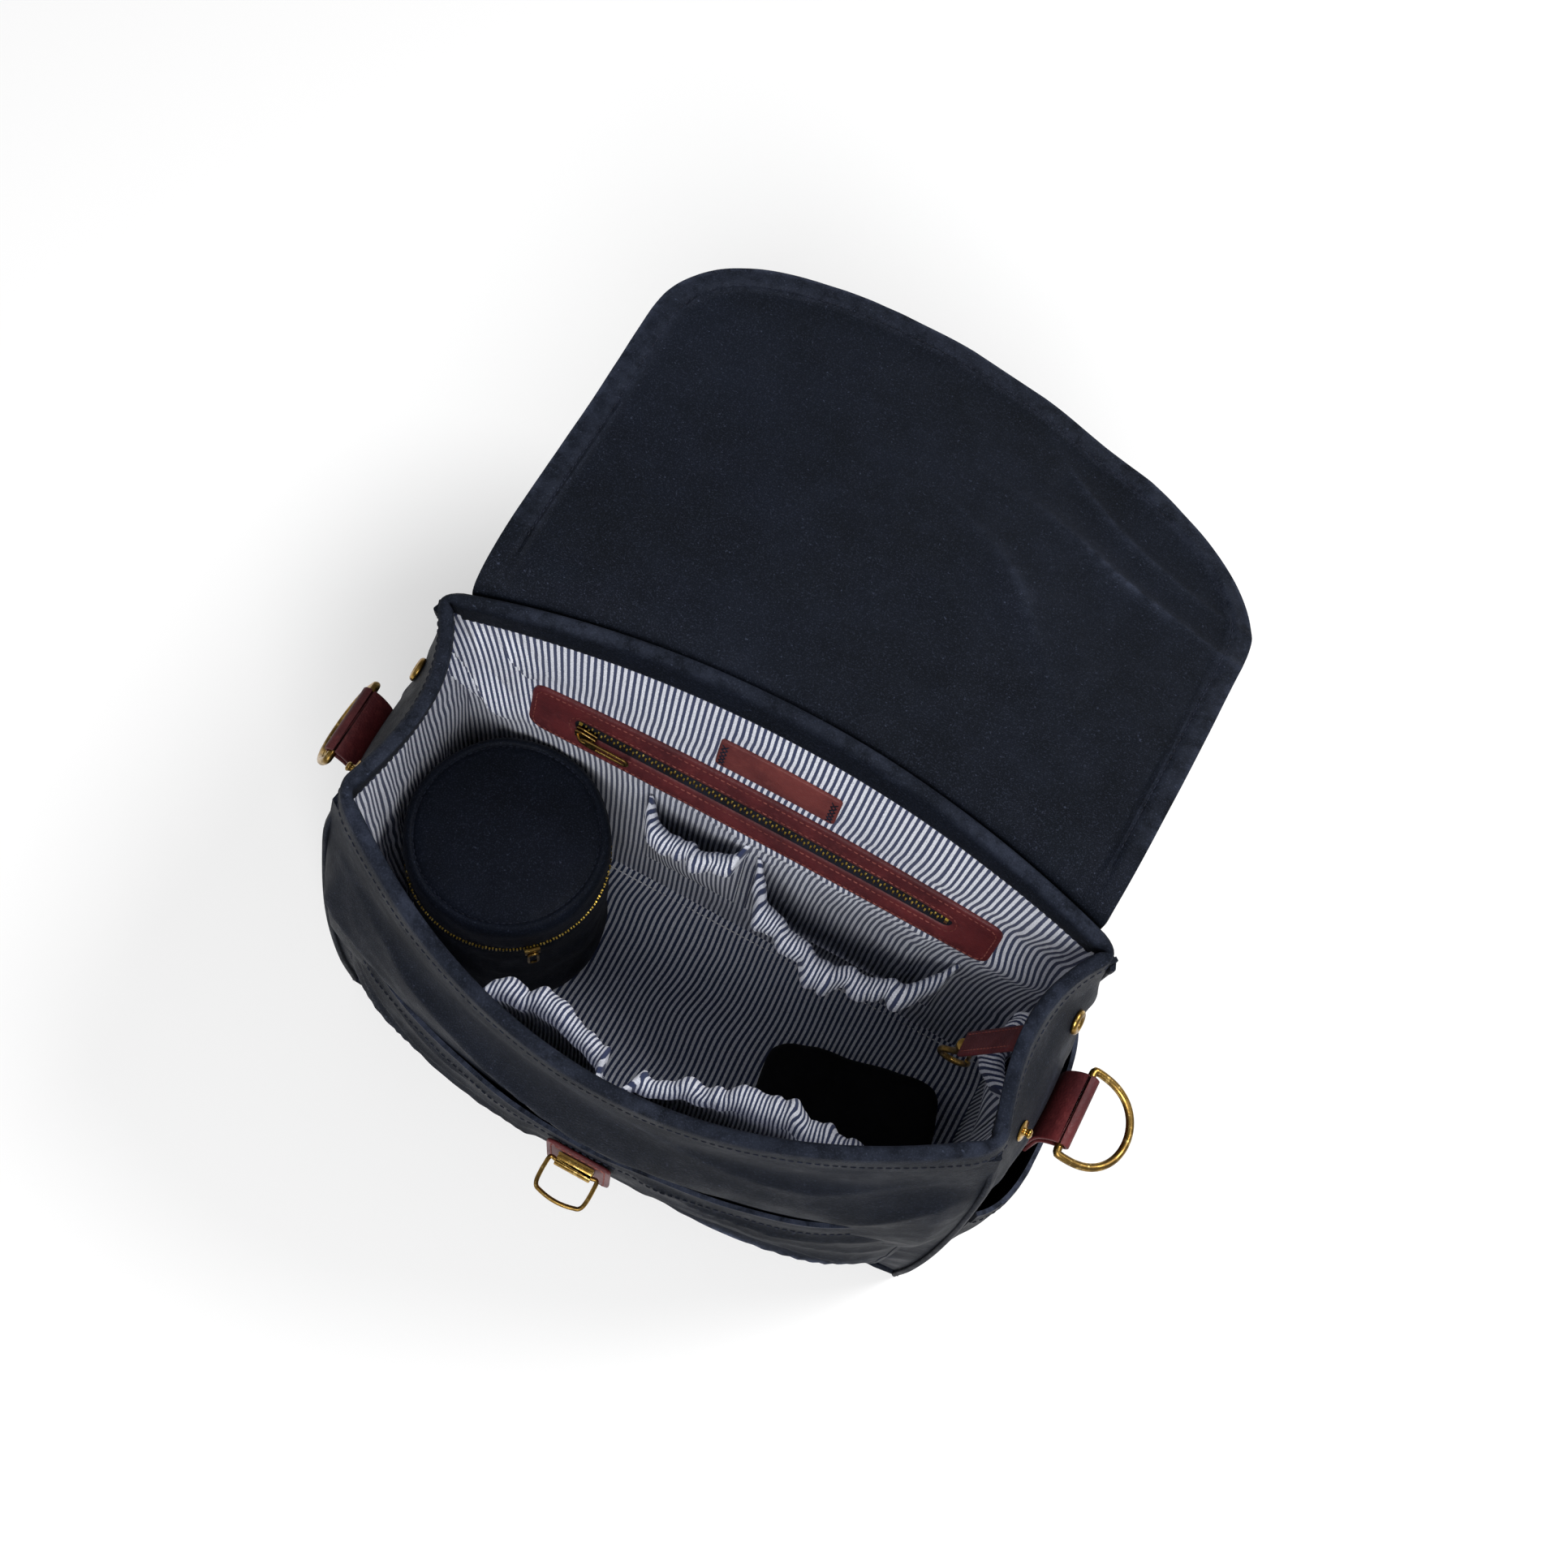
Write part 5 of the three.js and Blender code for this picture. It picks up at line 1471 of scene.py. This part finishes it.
# ---- snap fasteners
# Outlines as (radius, height off the wall).
SOCKET = [(2.2, 0.1), (6.0, 0.1), (6.25, 0.5), (6.25, 1.1), (5.9, 1.9), (5.1, 2.5), (4.2, 2.65)]
SOCKET += [(3.4, 2.4), (2.8, 1.8), (2.3, 1.2), (2.2, 0.6)]
STUD = [(0, 0.1), (5.1, 0.1), (5.25, 0.5), (4.9, 0.95), (3.2, 1.15), (2.1, 1.45), (1.75, 2.2)]
STUD += [(1.9, 2.9), (2.35, 3.5), (2.2, 4.3), (1.4, 4.85), (0, 5.0)]
SOCKET_FLOOR = [(0, 0.15), (3.0, 0.15), (3.0, 0.5), (1.2, 0.6), (0, 0.6)]
SNAP_HEIGHT, SNAP_LIFT, SNAP_SUNK = 240.0, 1.4, 0.9


def snap(side, s, z, kind, outline):
    """One half of a snap fastener, square to the gusset at its place."""
    here = on_wall(side, s, z, -SNAP_LIFT)
    up = on_wall(side, s, z + 4, -SNAP_LIFT) - on_wall(side, s, z - 4, -SNAP_LIFT)
    along = on_wall(side, s + 0.05, z, -SNAP_LIFT) - on_wall(side, s - 0.05, z, -SNAP_LIFT)
    out = unit(np.cross(along, up))
    level = unit(np.cross(up, out))
    turn_to = axes_matrix(level, unit(np.cross(out, level)), out, here - SNAP_SUNK * out)
    node = f"snap_{kind}_{side}"
    parts = [lathe("part", outline, BRASS, turn_to, 40)]
    if kind == "socket":
        parts.append(lathe("part", SOCKET_FLOOR, BRASS, turn_to, 28))
    keep(join(f"{node}_brass", parts), "bag", node, slot=GOLDEN)


for gusset, hand in (("right", 1), ("left", -1)):
    snap(gusset, 0.52 * hand, SNAP_HEIGHT, "socket", SOCKET)
    snap(gusset, -0.5 * hand, SNAP_HEIGHT, "stud", STUD)

# ---- closure on the front
LOOP = {"half": 12.5, "depth": 16, "wire": 1.1}  # half its width, its reach, the wire's radius


def closure_patch():
    low, high = node_corners("closure_patch")
    half_x, half_z = (high[0] - low[0]) / 2, (high[2] - low[2]) / 2
    middle = (low + high) / 2
    turn_to = axes_matrix((1, 0, 0), (0, 0, 1), (0, -1, 0), (middle[0], high[1], middle[2]))
    patch = slab("closure_leather", rounded_outline(half_x, half_z, 4), 0.0, 2.0, LEATHER, turn_to, 0.6)
    keep(patch, "bag", "closure_patch", slot=BROWN)
    line = rounded_outline(half_x - 2.6, half_z - 2.6, 2.4)
    path = stack(middle[0] + line[:, 0], low[1] - 0.1, middle[2] + line[:, 1])
    run = stitches("closure_leather_stitching", path, (0, -1, 0), LEATHER_STITCH, closed=True)
    keep(run, "bag")


def closure_bracket():
    """A brass strip that lies on the patch and bends round the loop's bar."""
    low, high = node_corners("closure_bracket")
    bar_y, bar_z, flat_y, bend = high[1] - 3.4, node_middle("closure_loop")[2], high[1] - 0.7, 2.05
    points = [(flat_y, low[2] + 0.3), (flat_y, bar_z - 4)]
    for a in np.radians(np.linspace(-115, 115, 15)):
        points.append((bar_y - bend * math.cos(a), bar_z + bend * math.sin(a)))
    points += [(flat_y, bar_z + 3.4), (flat_y, high[2] - 0.2)]
    path = curve_through([(0, y, z) for y, z in points], 0.7)
    section = strap_section(high[0] - low[0], 1.1, 0.4)
    plate = sweep("closure_bracket_brass", path, section, BRASS, hint=(0, -1, 0.01))
    keep(plate, "bag", "closure_bracket", slot=GOLDEN)


def closure_loop():
    low, high = node_corners("closure_loop")
    bar_y, bar_z = high[1] - LOOP["wire"], (low[2] + high[2]) / 2
    w, d = LOOP["half"], LOOP["depth"]
    points = [(mix(-w, w, t), 0) for t in np.linspace(0, 1, 9)]
    side = [(w + 0.5, -d * 0.3), (w + 0.5, -d * 0.55), (w + 0.1, -d * 0.8), (w - 1.2, -d * 0.95)]
    points += side
    for t in np.linspace(0, 1, 7):
        points.append((mix(w - 3.4, -w + 3.4, t), -d - 1.3 * (1 - (2 * t - 1) ** 2)))
    points += [(-x, y) for x, y in reversed(side)]
    path = curve_through([(x, bar_y + y, bar_z) for x, y in points], 0.7, closed=True)
    ring = sweep("closure_wire_loop", path, round_section(LOOP["wire"], 14), BRASS, closed=True)
    keep(ring, "closure_loop", "closure_loop", slot=GOLDEN)


closure_patch()
closure_bracket()
closure_loop()


CLOSURE_ALONG, HOOK_ALONG = 224, 228  # how far down the flap they are


def flap_closure():
    """The leather and the brass hook under the flap's front part."""
    slope = math.radians(SLOPE)
    out = np.array([0, math.cos(slope), -math.sin(slope)])
    up = np.array([0, math.sin(slope), math.cos(slope)])
    hinge = np.array([0, HINGE_Y, HINGE_Z])
    face = -0.4 - FLAP_THICKNESS - 0.4
    turn_to = axes_matrix((1, 0, 0), out, up, hinge + out * CLOSURE_ALONG + up * (face - 2.4))
    tab = slab("flap_leather", rounded_outline(19, 17, 5), 0.0, 2.6, LEATHER, turn_to, 0.7)
    keep(tab, "flap_front", "closure_tab", slot=BROWN)
    line = rounded_outline(16.4, 14.4, 3.6)
    path = hinge + line[:, :1] * np.array([1.0, 0, 0])
    path = path + (CLOSURE_ALONG + line[:, 1:]) * out + (face - 2.5) * up
    run = stitches("flap_leather_stitching", path, -up, LEATHER_STITCH, closed=True)
    keep(run, "flap_front")
    hook = [(-9, 0), (-3, 0), (3, 0), (8, 0)]
    for a in np.radians(np.linspace(10, 170, 9)):
        hook.append((9 + 2.2 * math.sin(a), -2.2 + 2.2 * math.cos(a)))
    hook += [(7.5, -4.4), (3, -4.4)]
    start = hinge + out * HOOK_ALONG + up * (face - 2 - 0.4 - 0.7)
    path = curve_through([start + out * a + up * b for a, b in hook], 0.7)
    plate = sweep("flap_hook_brass", path, strap_section(16, 1.4, 0.5), BRASS, hint=up)
    keep(plate, "flap_front", "closure_hook", slot=GOLDEN)


flap_closure()

# ---- key leash
KEY = {"x": 151, "y": 8, "z": 260, "length": 52, "tilt": 18, "width": 13}  # its top, and its tilt
KEY_DOWN = np.array([-math.sin(math.radians(KEY["tilt"])), 0, -math.cos(math.radians(KEY["tilt"]))])
KEY_TOP = np.array([KEY["x"], KEY["y"], KEY["z"]], float)
KEY_TIP = KEY_TOP + KEY_DOWN * (KEY["length"] + 1)


def in_leash_plane(points):
    """Points given as (x, z) from just under the swivel's eye."""
    top = KEY_TIP + np.array([0, 0, -6.8])
    return curve_through([top + np.array([x, 0, z]) for x, z in points], 0.7)


def key_leash():
    path = [KEY_TOP + KEY_DOWN * t for t in np.linspace(0.5, KEY["length"] + 1, 26)]
    path[0] = path[0] - KEY_DOWN * 8 + np.array([2.0, 0, 0])
    side = np.array([math.cos(math.radians(KEY["tilt"])), 0, -math.sin(math.radians(KEY["tilt"]))])
    section = strap_section(KEY["width"], 2.4, 0.9)
    strap = sweep("key_leash_leather", curve_through(path, 1.2), section, LEATHER, hint=side)
    keep(strap, "key_strap", "key_strap", slot=BROWN)
    runs = []
    for y in (-KEY["width"] / 2 + 2, KEY["width"] / 2 - 2):
        for face in (-1, 1):
            off = side * 1.3 * face + np.array([0, y, 0])
            line = np.array([KEY_TOP + KEY_DOWN * t + off for t in np.linspace(2, KEY["length"] - 1, 30)])
            runs.append(stitches("run", line, side * face, LEASH_STITCH))
    keep(join("key_leash_stitching", runs), "key_strap")


def leash_hardware():
    """The swivel's eye, the trigger hook that turns in it, and the hook's sprung gate."""
    eye = [(0, -6.3), (2.9, -6.3), (3.3, -5.8), (3.4, -4.0), (3.1, -3.4), (3.4, -2.8)]
    eye += [(3.3, -1.2), (2.0, -0.6), (0, -0.5)]
    swivel = lathe("key_swivel_brass", eye, BRASS, Matrix.Translation(KEY_TIP), 28)
    keep(swivel, "key_strap", "key_swivel_eye", slot=GOLDEN)
    points = [(0.6, -0.1), (0.5, -4), (-0.4, -8.5), (-2.6, -12.2)]
    for a in np.radians(np.linspace(125, 392, 22)):
        points.append((7.2 * math.cos(a), -20 + 7.2 * math.sin(a)))
    path = in_leash_plane(points)
    radius = np.interp(np.linspace(0, 1, len(path)), [0, 0.06, 0.25, 0.9, 1], [3.0, 2.5, 1.9, 1.75, 1.2])
    section = np.array([round_section(r, 14, 0.86) for r in radius])
    hook = sweep("trigger_hook_brass", path, section, BRASS, hint=(0, 1, 0))
    keep(hook, "trigger_hook", "trigger_hook", slot=GOLDEN)
    path = in_leash_plane([(4.4, -4.2), (5.2, -6), (5.8, -9), (6.2, -13.2)])
    gate = sweep("hook_gate_brass", path, round_section(1.15, 12), BRASS, hint=(0, 1, 0))
    keep(gate, "hook_gate", "hook_gate", slot=GOLDEN)


key_leash()
leash_hardware()

# ---- round zipped case
CASE = {"x": -114, "y": 9, "radius": 53, "wall": 3, "hinge": -12}  # the hinge is an angle
CASE_BOTTOM, CASE_SEAM, CASE_TOP = 7, 120, 150  # heights
CASE_AT = Matrix.Translation((CASE["x"], CASE["y"], 0))


def round_case(angles, radius, z):
    """Points round the case, at a radius and a height."""
    return stack(CASE["x"] + radius * np.cos(angles), CASE["y"] + radius * np.sin(angles), z)


def case_cup():
    """The case's body, outside from its base to the seam and back down inside."""
    r, inner = CASE["radius"], CASE["radius"] - CASE["wall"]
    low, seam = CASE_BOTTOM, CASE_SEAM
    cup = [(0, low), (20, low + 0.1), (r - 7, low + 0.1), (r - 3, low + 1), (r - 0.8, low + 3.4)]
    cup += [(r - 0.1, low + 7)]
    cup += [(r - 0.3 + 0.3 * math.sin(z / 9), z) for z in np.linspace(low + 14, seam - 14, 22)]
    cup += [(r - 0.1, seam - 8), (r - 0.4, seam - 4), (r - 0.7, seam - 2.6), (inner + 0.4, seam - 2.2)]
    cup += [(inner, seam - 3), (inner, low + 60), (inner, low + 5), (inner - 2, low + 3.2), (0, low + 3)]
    obj = lathe("case_cup_canvas", cup, CANVAS, CASE_AT, 120, 0.9, 60)
    keep(obj, "case", "case_body", slot=NAVY)


def case_lid():
    """The lid, from its lining out to the seam and over its piped edge to the middle."""
    r, inner = CASE["radius"], CASE["radius"] - CASE["wall"]
    top, seam = CASE_TOP, CASE_SEAM
    lid = [(0, top - 3.4), (inner - 4, top - 3.6), (inner - 0.4, top - 5), (inner, seam + 2.2)]
    lid += [(inner + 0.6, seam + 2), (r - 0.7, seam + 2.2), (r - 0.2, seam + 4)]
    lid += [(r, z) for z in np.linspace(seam + 7, top - 7, 8)]
    lid += [(r - 0.3, top - 4.4), (r - 1.2, top - 2.0), (r - 2.2, top - 0.7), (r - 3.4, top + 0.1)]
    lid += [(r - 4.6, top + 0.1), (r - 5.4, top - 0.7), (r - 5.9, top - 1.3), (r - 6.5, top - 0.9)]
    lid += [(r - 8, top - 0.35)]
    lid += [(x, top - 0.3 + 0.9 * (1 - (x / (r - 8)) ** 2)) for x in np.linspace(r - 11, 4, 18)]
    lid += [(0, top + 0.6)]
    obj = lathe("case_lid_canvas", lid, CANVAS, CASE_AT, 120, 0.7, 60)
    keep(obj, "case_lid", "case_lid", slot=NAVY)


def case_zip():
    r, inner, seam = CASE["radius"], CASE["radius"] - CASE["wall"], CASE_SEAM
    tape = [(inner + 0.5, seam - 2.4), (r - 0.8, seam - 2.4), (r - 0.4, seam - 1), (r - 0.4, seam + 1)]
    tape += [(r - 0.8, seam + 2.2), (inner + 0.5, seam + 2.2)]
    keep(lathe("case_zip_tape", tape, TAPE, CASE_AT, 120), "case")
    count = int(2 * math.pi * r / TOOTH_PITCH)
    angle = np.arange(count) * 2 * math.pi / count
    hand = np.where(np.arange(count) % 2 == 0, 0.55, -0.55)
    centres = round_case(angle, r + 0.1, seam + hand)
    out = stack(np.cos(angle), np.sin(angle), 0)
    along = stack(-np.sin(angle), np.cos(angle), 0)
    axes = np.stack((along, np.broadcast_to((0.0, 0.0, 1.0), out.shape), out), 1)
    teeth = boxes_object("case_brass_teeth", centres, axes, (0.95, 2.2, 1.1), GOLD_TEETH, 0.75)
    keep(teeth, "case", "case_zip", slot=GOLDEN)


def case_slider():
    middle = node_middle("case_slider")
    turn = math.radians(CASE["hinge"] - 35)
    out = np.array([math.cos(turn), math.sin(turn), 0])
    along = np.array([-math.sin(turn), math.cos(turn), 0])
    body = [middle + along * t - out * 0.2 for t in np.linspace(-4, 4, 10)]
    parts = [sweep("slider", body, strap_section(6, 2.6, 0.9), BRASS, hint=out)]
    loop = rounded_outline(2.4, 7.5, 2.2, 0.8)
    path = middle + loop[:, :1] * along + (loop[:, 1:] - 7.6) * np.array([0, 0, 1.0]) + out * 1.7
    parts.append(sweep("pull", path, round_section(0.75, 10), BRASS, closed=True, hint=out))
    keep(join("case_slider_brass", parts), "case_slider", "case_slider", slot=GOLDEN)


def case_stitching():
    """A row of stitches inside the lid's piping, and one round its band."""
    angle = np.linspace(0, 2 * math.pi, 200, endpoint=False)
    outward = stack(np.cos(angle), np.sin(angle), 0)
    r = CASE["radius"]
    for name, radius, z, normal in (
        ("lid", r - 5.9, CASE_TOP - 1.15, (0, 0, 1)),
        ("band", r + 0.05, CASE_SEAM + 6, outward),
    ):
        path = round_case(angle, radius, z)
        keep(stitches(f"case_{name}_stitching", path, normal, CASE_STITCH, closed=True), "case_lid")


case_cup()
case_lid()
case_zip()
case_slider()
case_stitching()

# ---- soft pouch
POUCH_SHRUNK = (0.94, 0.94, 0.86)  # how small it starts, before it swells
POUCH_VOXEL, POUCH_PRESSURE, POUCH_FRAMES, POUCH_SWELL = 0.0045, 4.0, 20, 0.006


def mesh_points(mesh):
    return np.array([v.co for v in mesh.vertices])


def simulate_pad(obj, pressure, frames, cap):
    """Swells a mesh with cloth pressure, then keeps every point within `cap` of its start."""
    start = mesh_points(obj.data)
    cloth = obj.modifiers.new("cloth", "CLOTH")
    cloth.settings.quality = 5
    cloth.settings.mass = 0.2
    cloth.settings.use_pressure = True
    cloth.settings.uniform_pressure_force = pressure
    cloth.settings.effector_weights.gravity = 0
    cloth.settings.bending_stiffness = 0.3
    cloth.point_cache.frame_end = frames
    scene = bpy.context.scene
    for step in range(1, frames + 1):
        scene.frame_set(step)
    shaped = obj.evaluated_get(bpy.context.evaluated_depsgraph_get()).data
    moved = mesh_points(shaped)
    obj.modifiers.remove(cloth)
    scene.frame_set(1)
    shift = moved - start
    length = np.linalg.norm(shift, axis=1, keepdims=True)
    shift *= np.minimum(1, cap / np.maximum(length, 1e-9))
    obj.data.vertices.foreach_set("co", (start + shift).reshape(-1))
    obj.data.update()


def soft_pouch():
    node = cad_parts["pouch_body"]
    obj = bpy.data.objects.new("soft_black_pouch", node.data.copy())
    bpy.context.scene.collection.objects.link(obj)
    middle = node_middle("pouch_body") * MM
    points = mesh_points(obj.data)
    shrunk = middle + (points - middle) * np.array(POUCH_SHRUNK)
    obj.data.vertices.foreach_set("co", shrunk.reshape(-1))
    remesh = obj.modifiers.new("remesh", "REMESH")
    remesh.mode = "VOXEL"
    remesh.voxel_size = POUCH_VOXEL
    bake_modifiers(obj)
    simulate_pad(obj, POUCH_PRESSURE, POUCH_FRAMES, POUCH_SWELL)
    smooth_more = obj.modifiers.new("finer", "SUBSURF")
    smooth_more.levels = 1
    bake_modifiers(obj)
    points = mesh_points(obj.data) / MM
    low = node_corners("pouch_body")[0][2]
    lump = 1.0 * soft_noise(points[:, 0] / 17 + points[:, 2] / 20, points[:, 1] / 15, 171)
    crease = 1 - np.abs(np.sin((points[:, 0] * 0.25 + points[:, 1] * 0.9) / 15 + lump))
    out = unit(points - np.array([middle[0], middle[1], middle[2]]) / MM)
    points = points + out * (lump + 1.2 * crease**2)[:, None]
    points[:, 2] = np.maximum(points[:, 2], low)
    obj.data.vertices.foreach_set("co", (points * MM).reshape(-1))
    obj.data.materials.clear()
    obj.data.materials.append(BLACK)
    obj.data.polygons.foreach_set("use_smooth", np.ones(len(obj.data.polygons), bool))
    obj.data.update()
    keep(obj, "pouch", "pouch_body", slot="black_cloth")


def bake_modifiers(obj):
    """Applies what modifiers an object has to its mesh."""
    evaluated = obj.evaluated_get(bpy.context.evaluated_depsgraph_get())
    mesh = bpy.data.meshes.new_from_object(evaluated)
    obj.modifiers.clear()
    obj.data = mesh


soft_pouch()

# ---- what stays from the frame
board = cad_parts["base_board"]
board.data.materials.clear()
board.data.materials.append(BOARD)

# ---- studio
PAPER_TONE, PAPER_GLOW, WORLD_LIGHT = 0.52, 0.45, 0.24
LIT = (0, 0, 0.15)  # where the lamps point
# Each lamp's name, place in metres, size and power in watts.
LAMPS = (
    ("key", (0.5, -1.3, 1.8), 1.2, 39),
    ("fill", (-1.5, -0.5, 1.7), 1.6, 4),
    ("top", (0.95, 0.95, 1.9), 0.9, 34),
)


def make_studio():
    floor_mesh = bpy.data.meshes.new("floor")
    reach = 6  # metres
    corners = [(x * reach, y * reach, 0) for x, y in ((-1, -1), (1, -1), (1, 1), (-1, 1))]
    floor_mesh.from_pydata(corners, [], [(0, 1, 2, 3)])
    floor = bpy.data.objects.new("floor", floor_mesh)
    paper = bpy.data.materials.new("paper")
    paper.use_nodes = True
    shader = paper.node_tree.nodes["Principled BSDF"]
    shader.inputs["Base Color"].default_value = (PAPER_TONE, PAPER_TONE, PAPER_TONE, 1)
    shader.inputs["Emission Color"].default_value = (1.0, 1.0, 1.0, 1)
    shader.inputs["Emission Strength"].default_value = PAPER_GLOW
    shader.inputs["Roughness"].default_value = 0.9
    shader.inputs["Specular IOR Level"].default_value = 0.1
    floor_mesh.materials.append(paper)
    bpy.context.scene.collection.objects.link(floor)
    world = bpy.data.worlds.new("studio")
    world.use_nodes = True
    world.node_tree.nodes["Background"].inputs[0].default_value = (1.0, 1.0, 1.0, 1)
    world.node_tree.nodes["Background"].inputs[1].default_value = WORLD_LIGHT
    bpy.context.scene.world = world
    for name, place, size, power in LAMPS:
        data = bpy.data.lights.new(name, "AREA")
        data.shape = "DISK"
        data.size = size
        data.energy = power
        lamp = bpy.data.objects.new(name, data)
        lamp.location = place
        lamp.rotation_euler = (Vector(LIT) - Vector(place)).to_track_quat("-Z", "Y").to_euler()
        bpy.context.scene.collection.objects.link(lamp)


make_studio()
bpy.context.scene.view_settings.view_transform = "Standard"
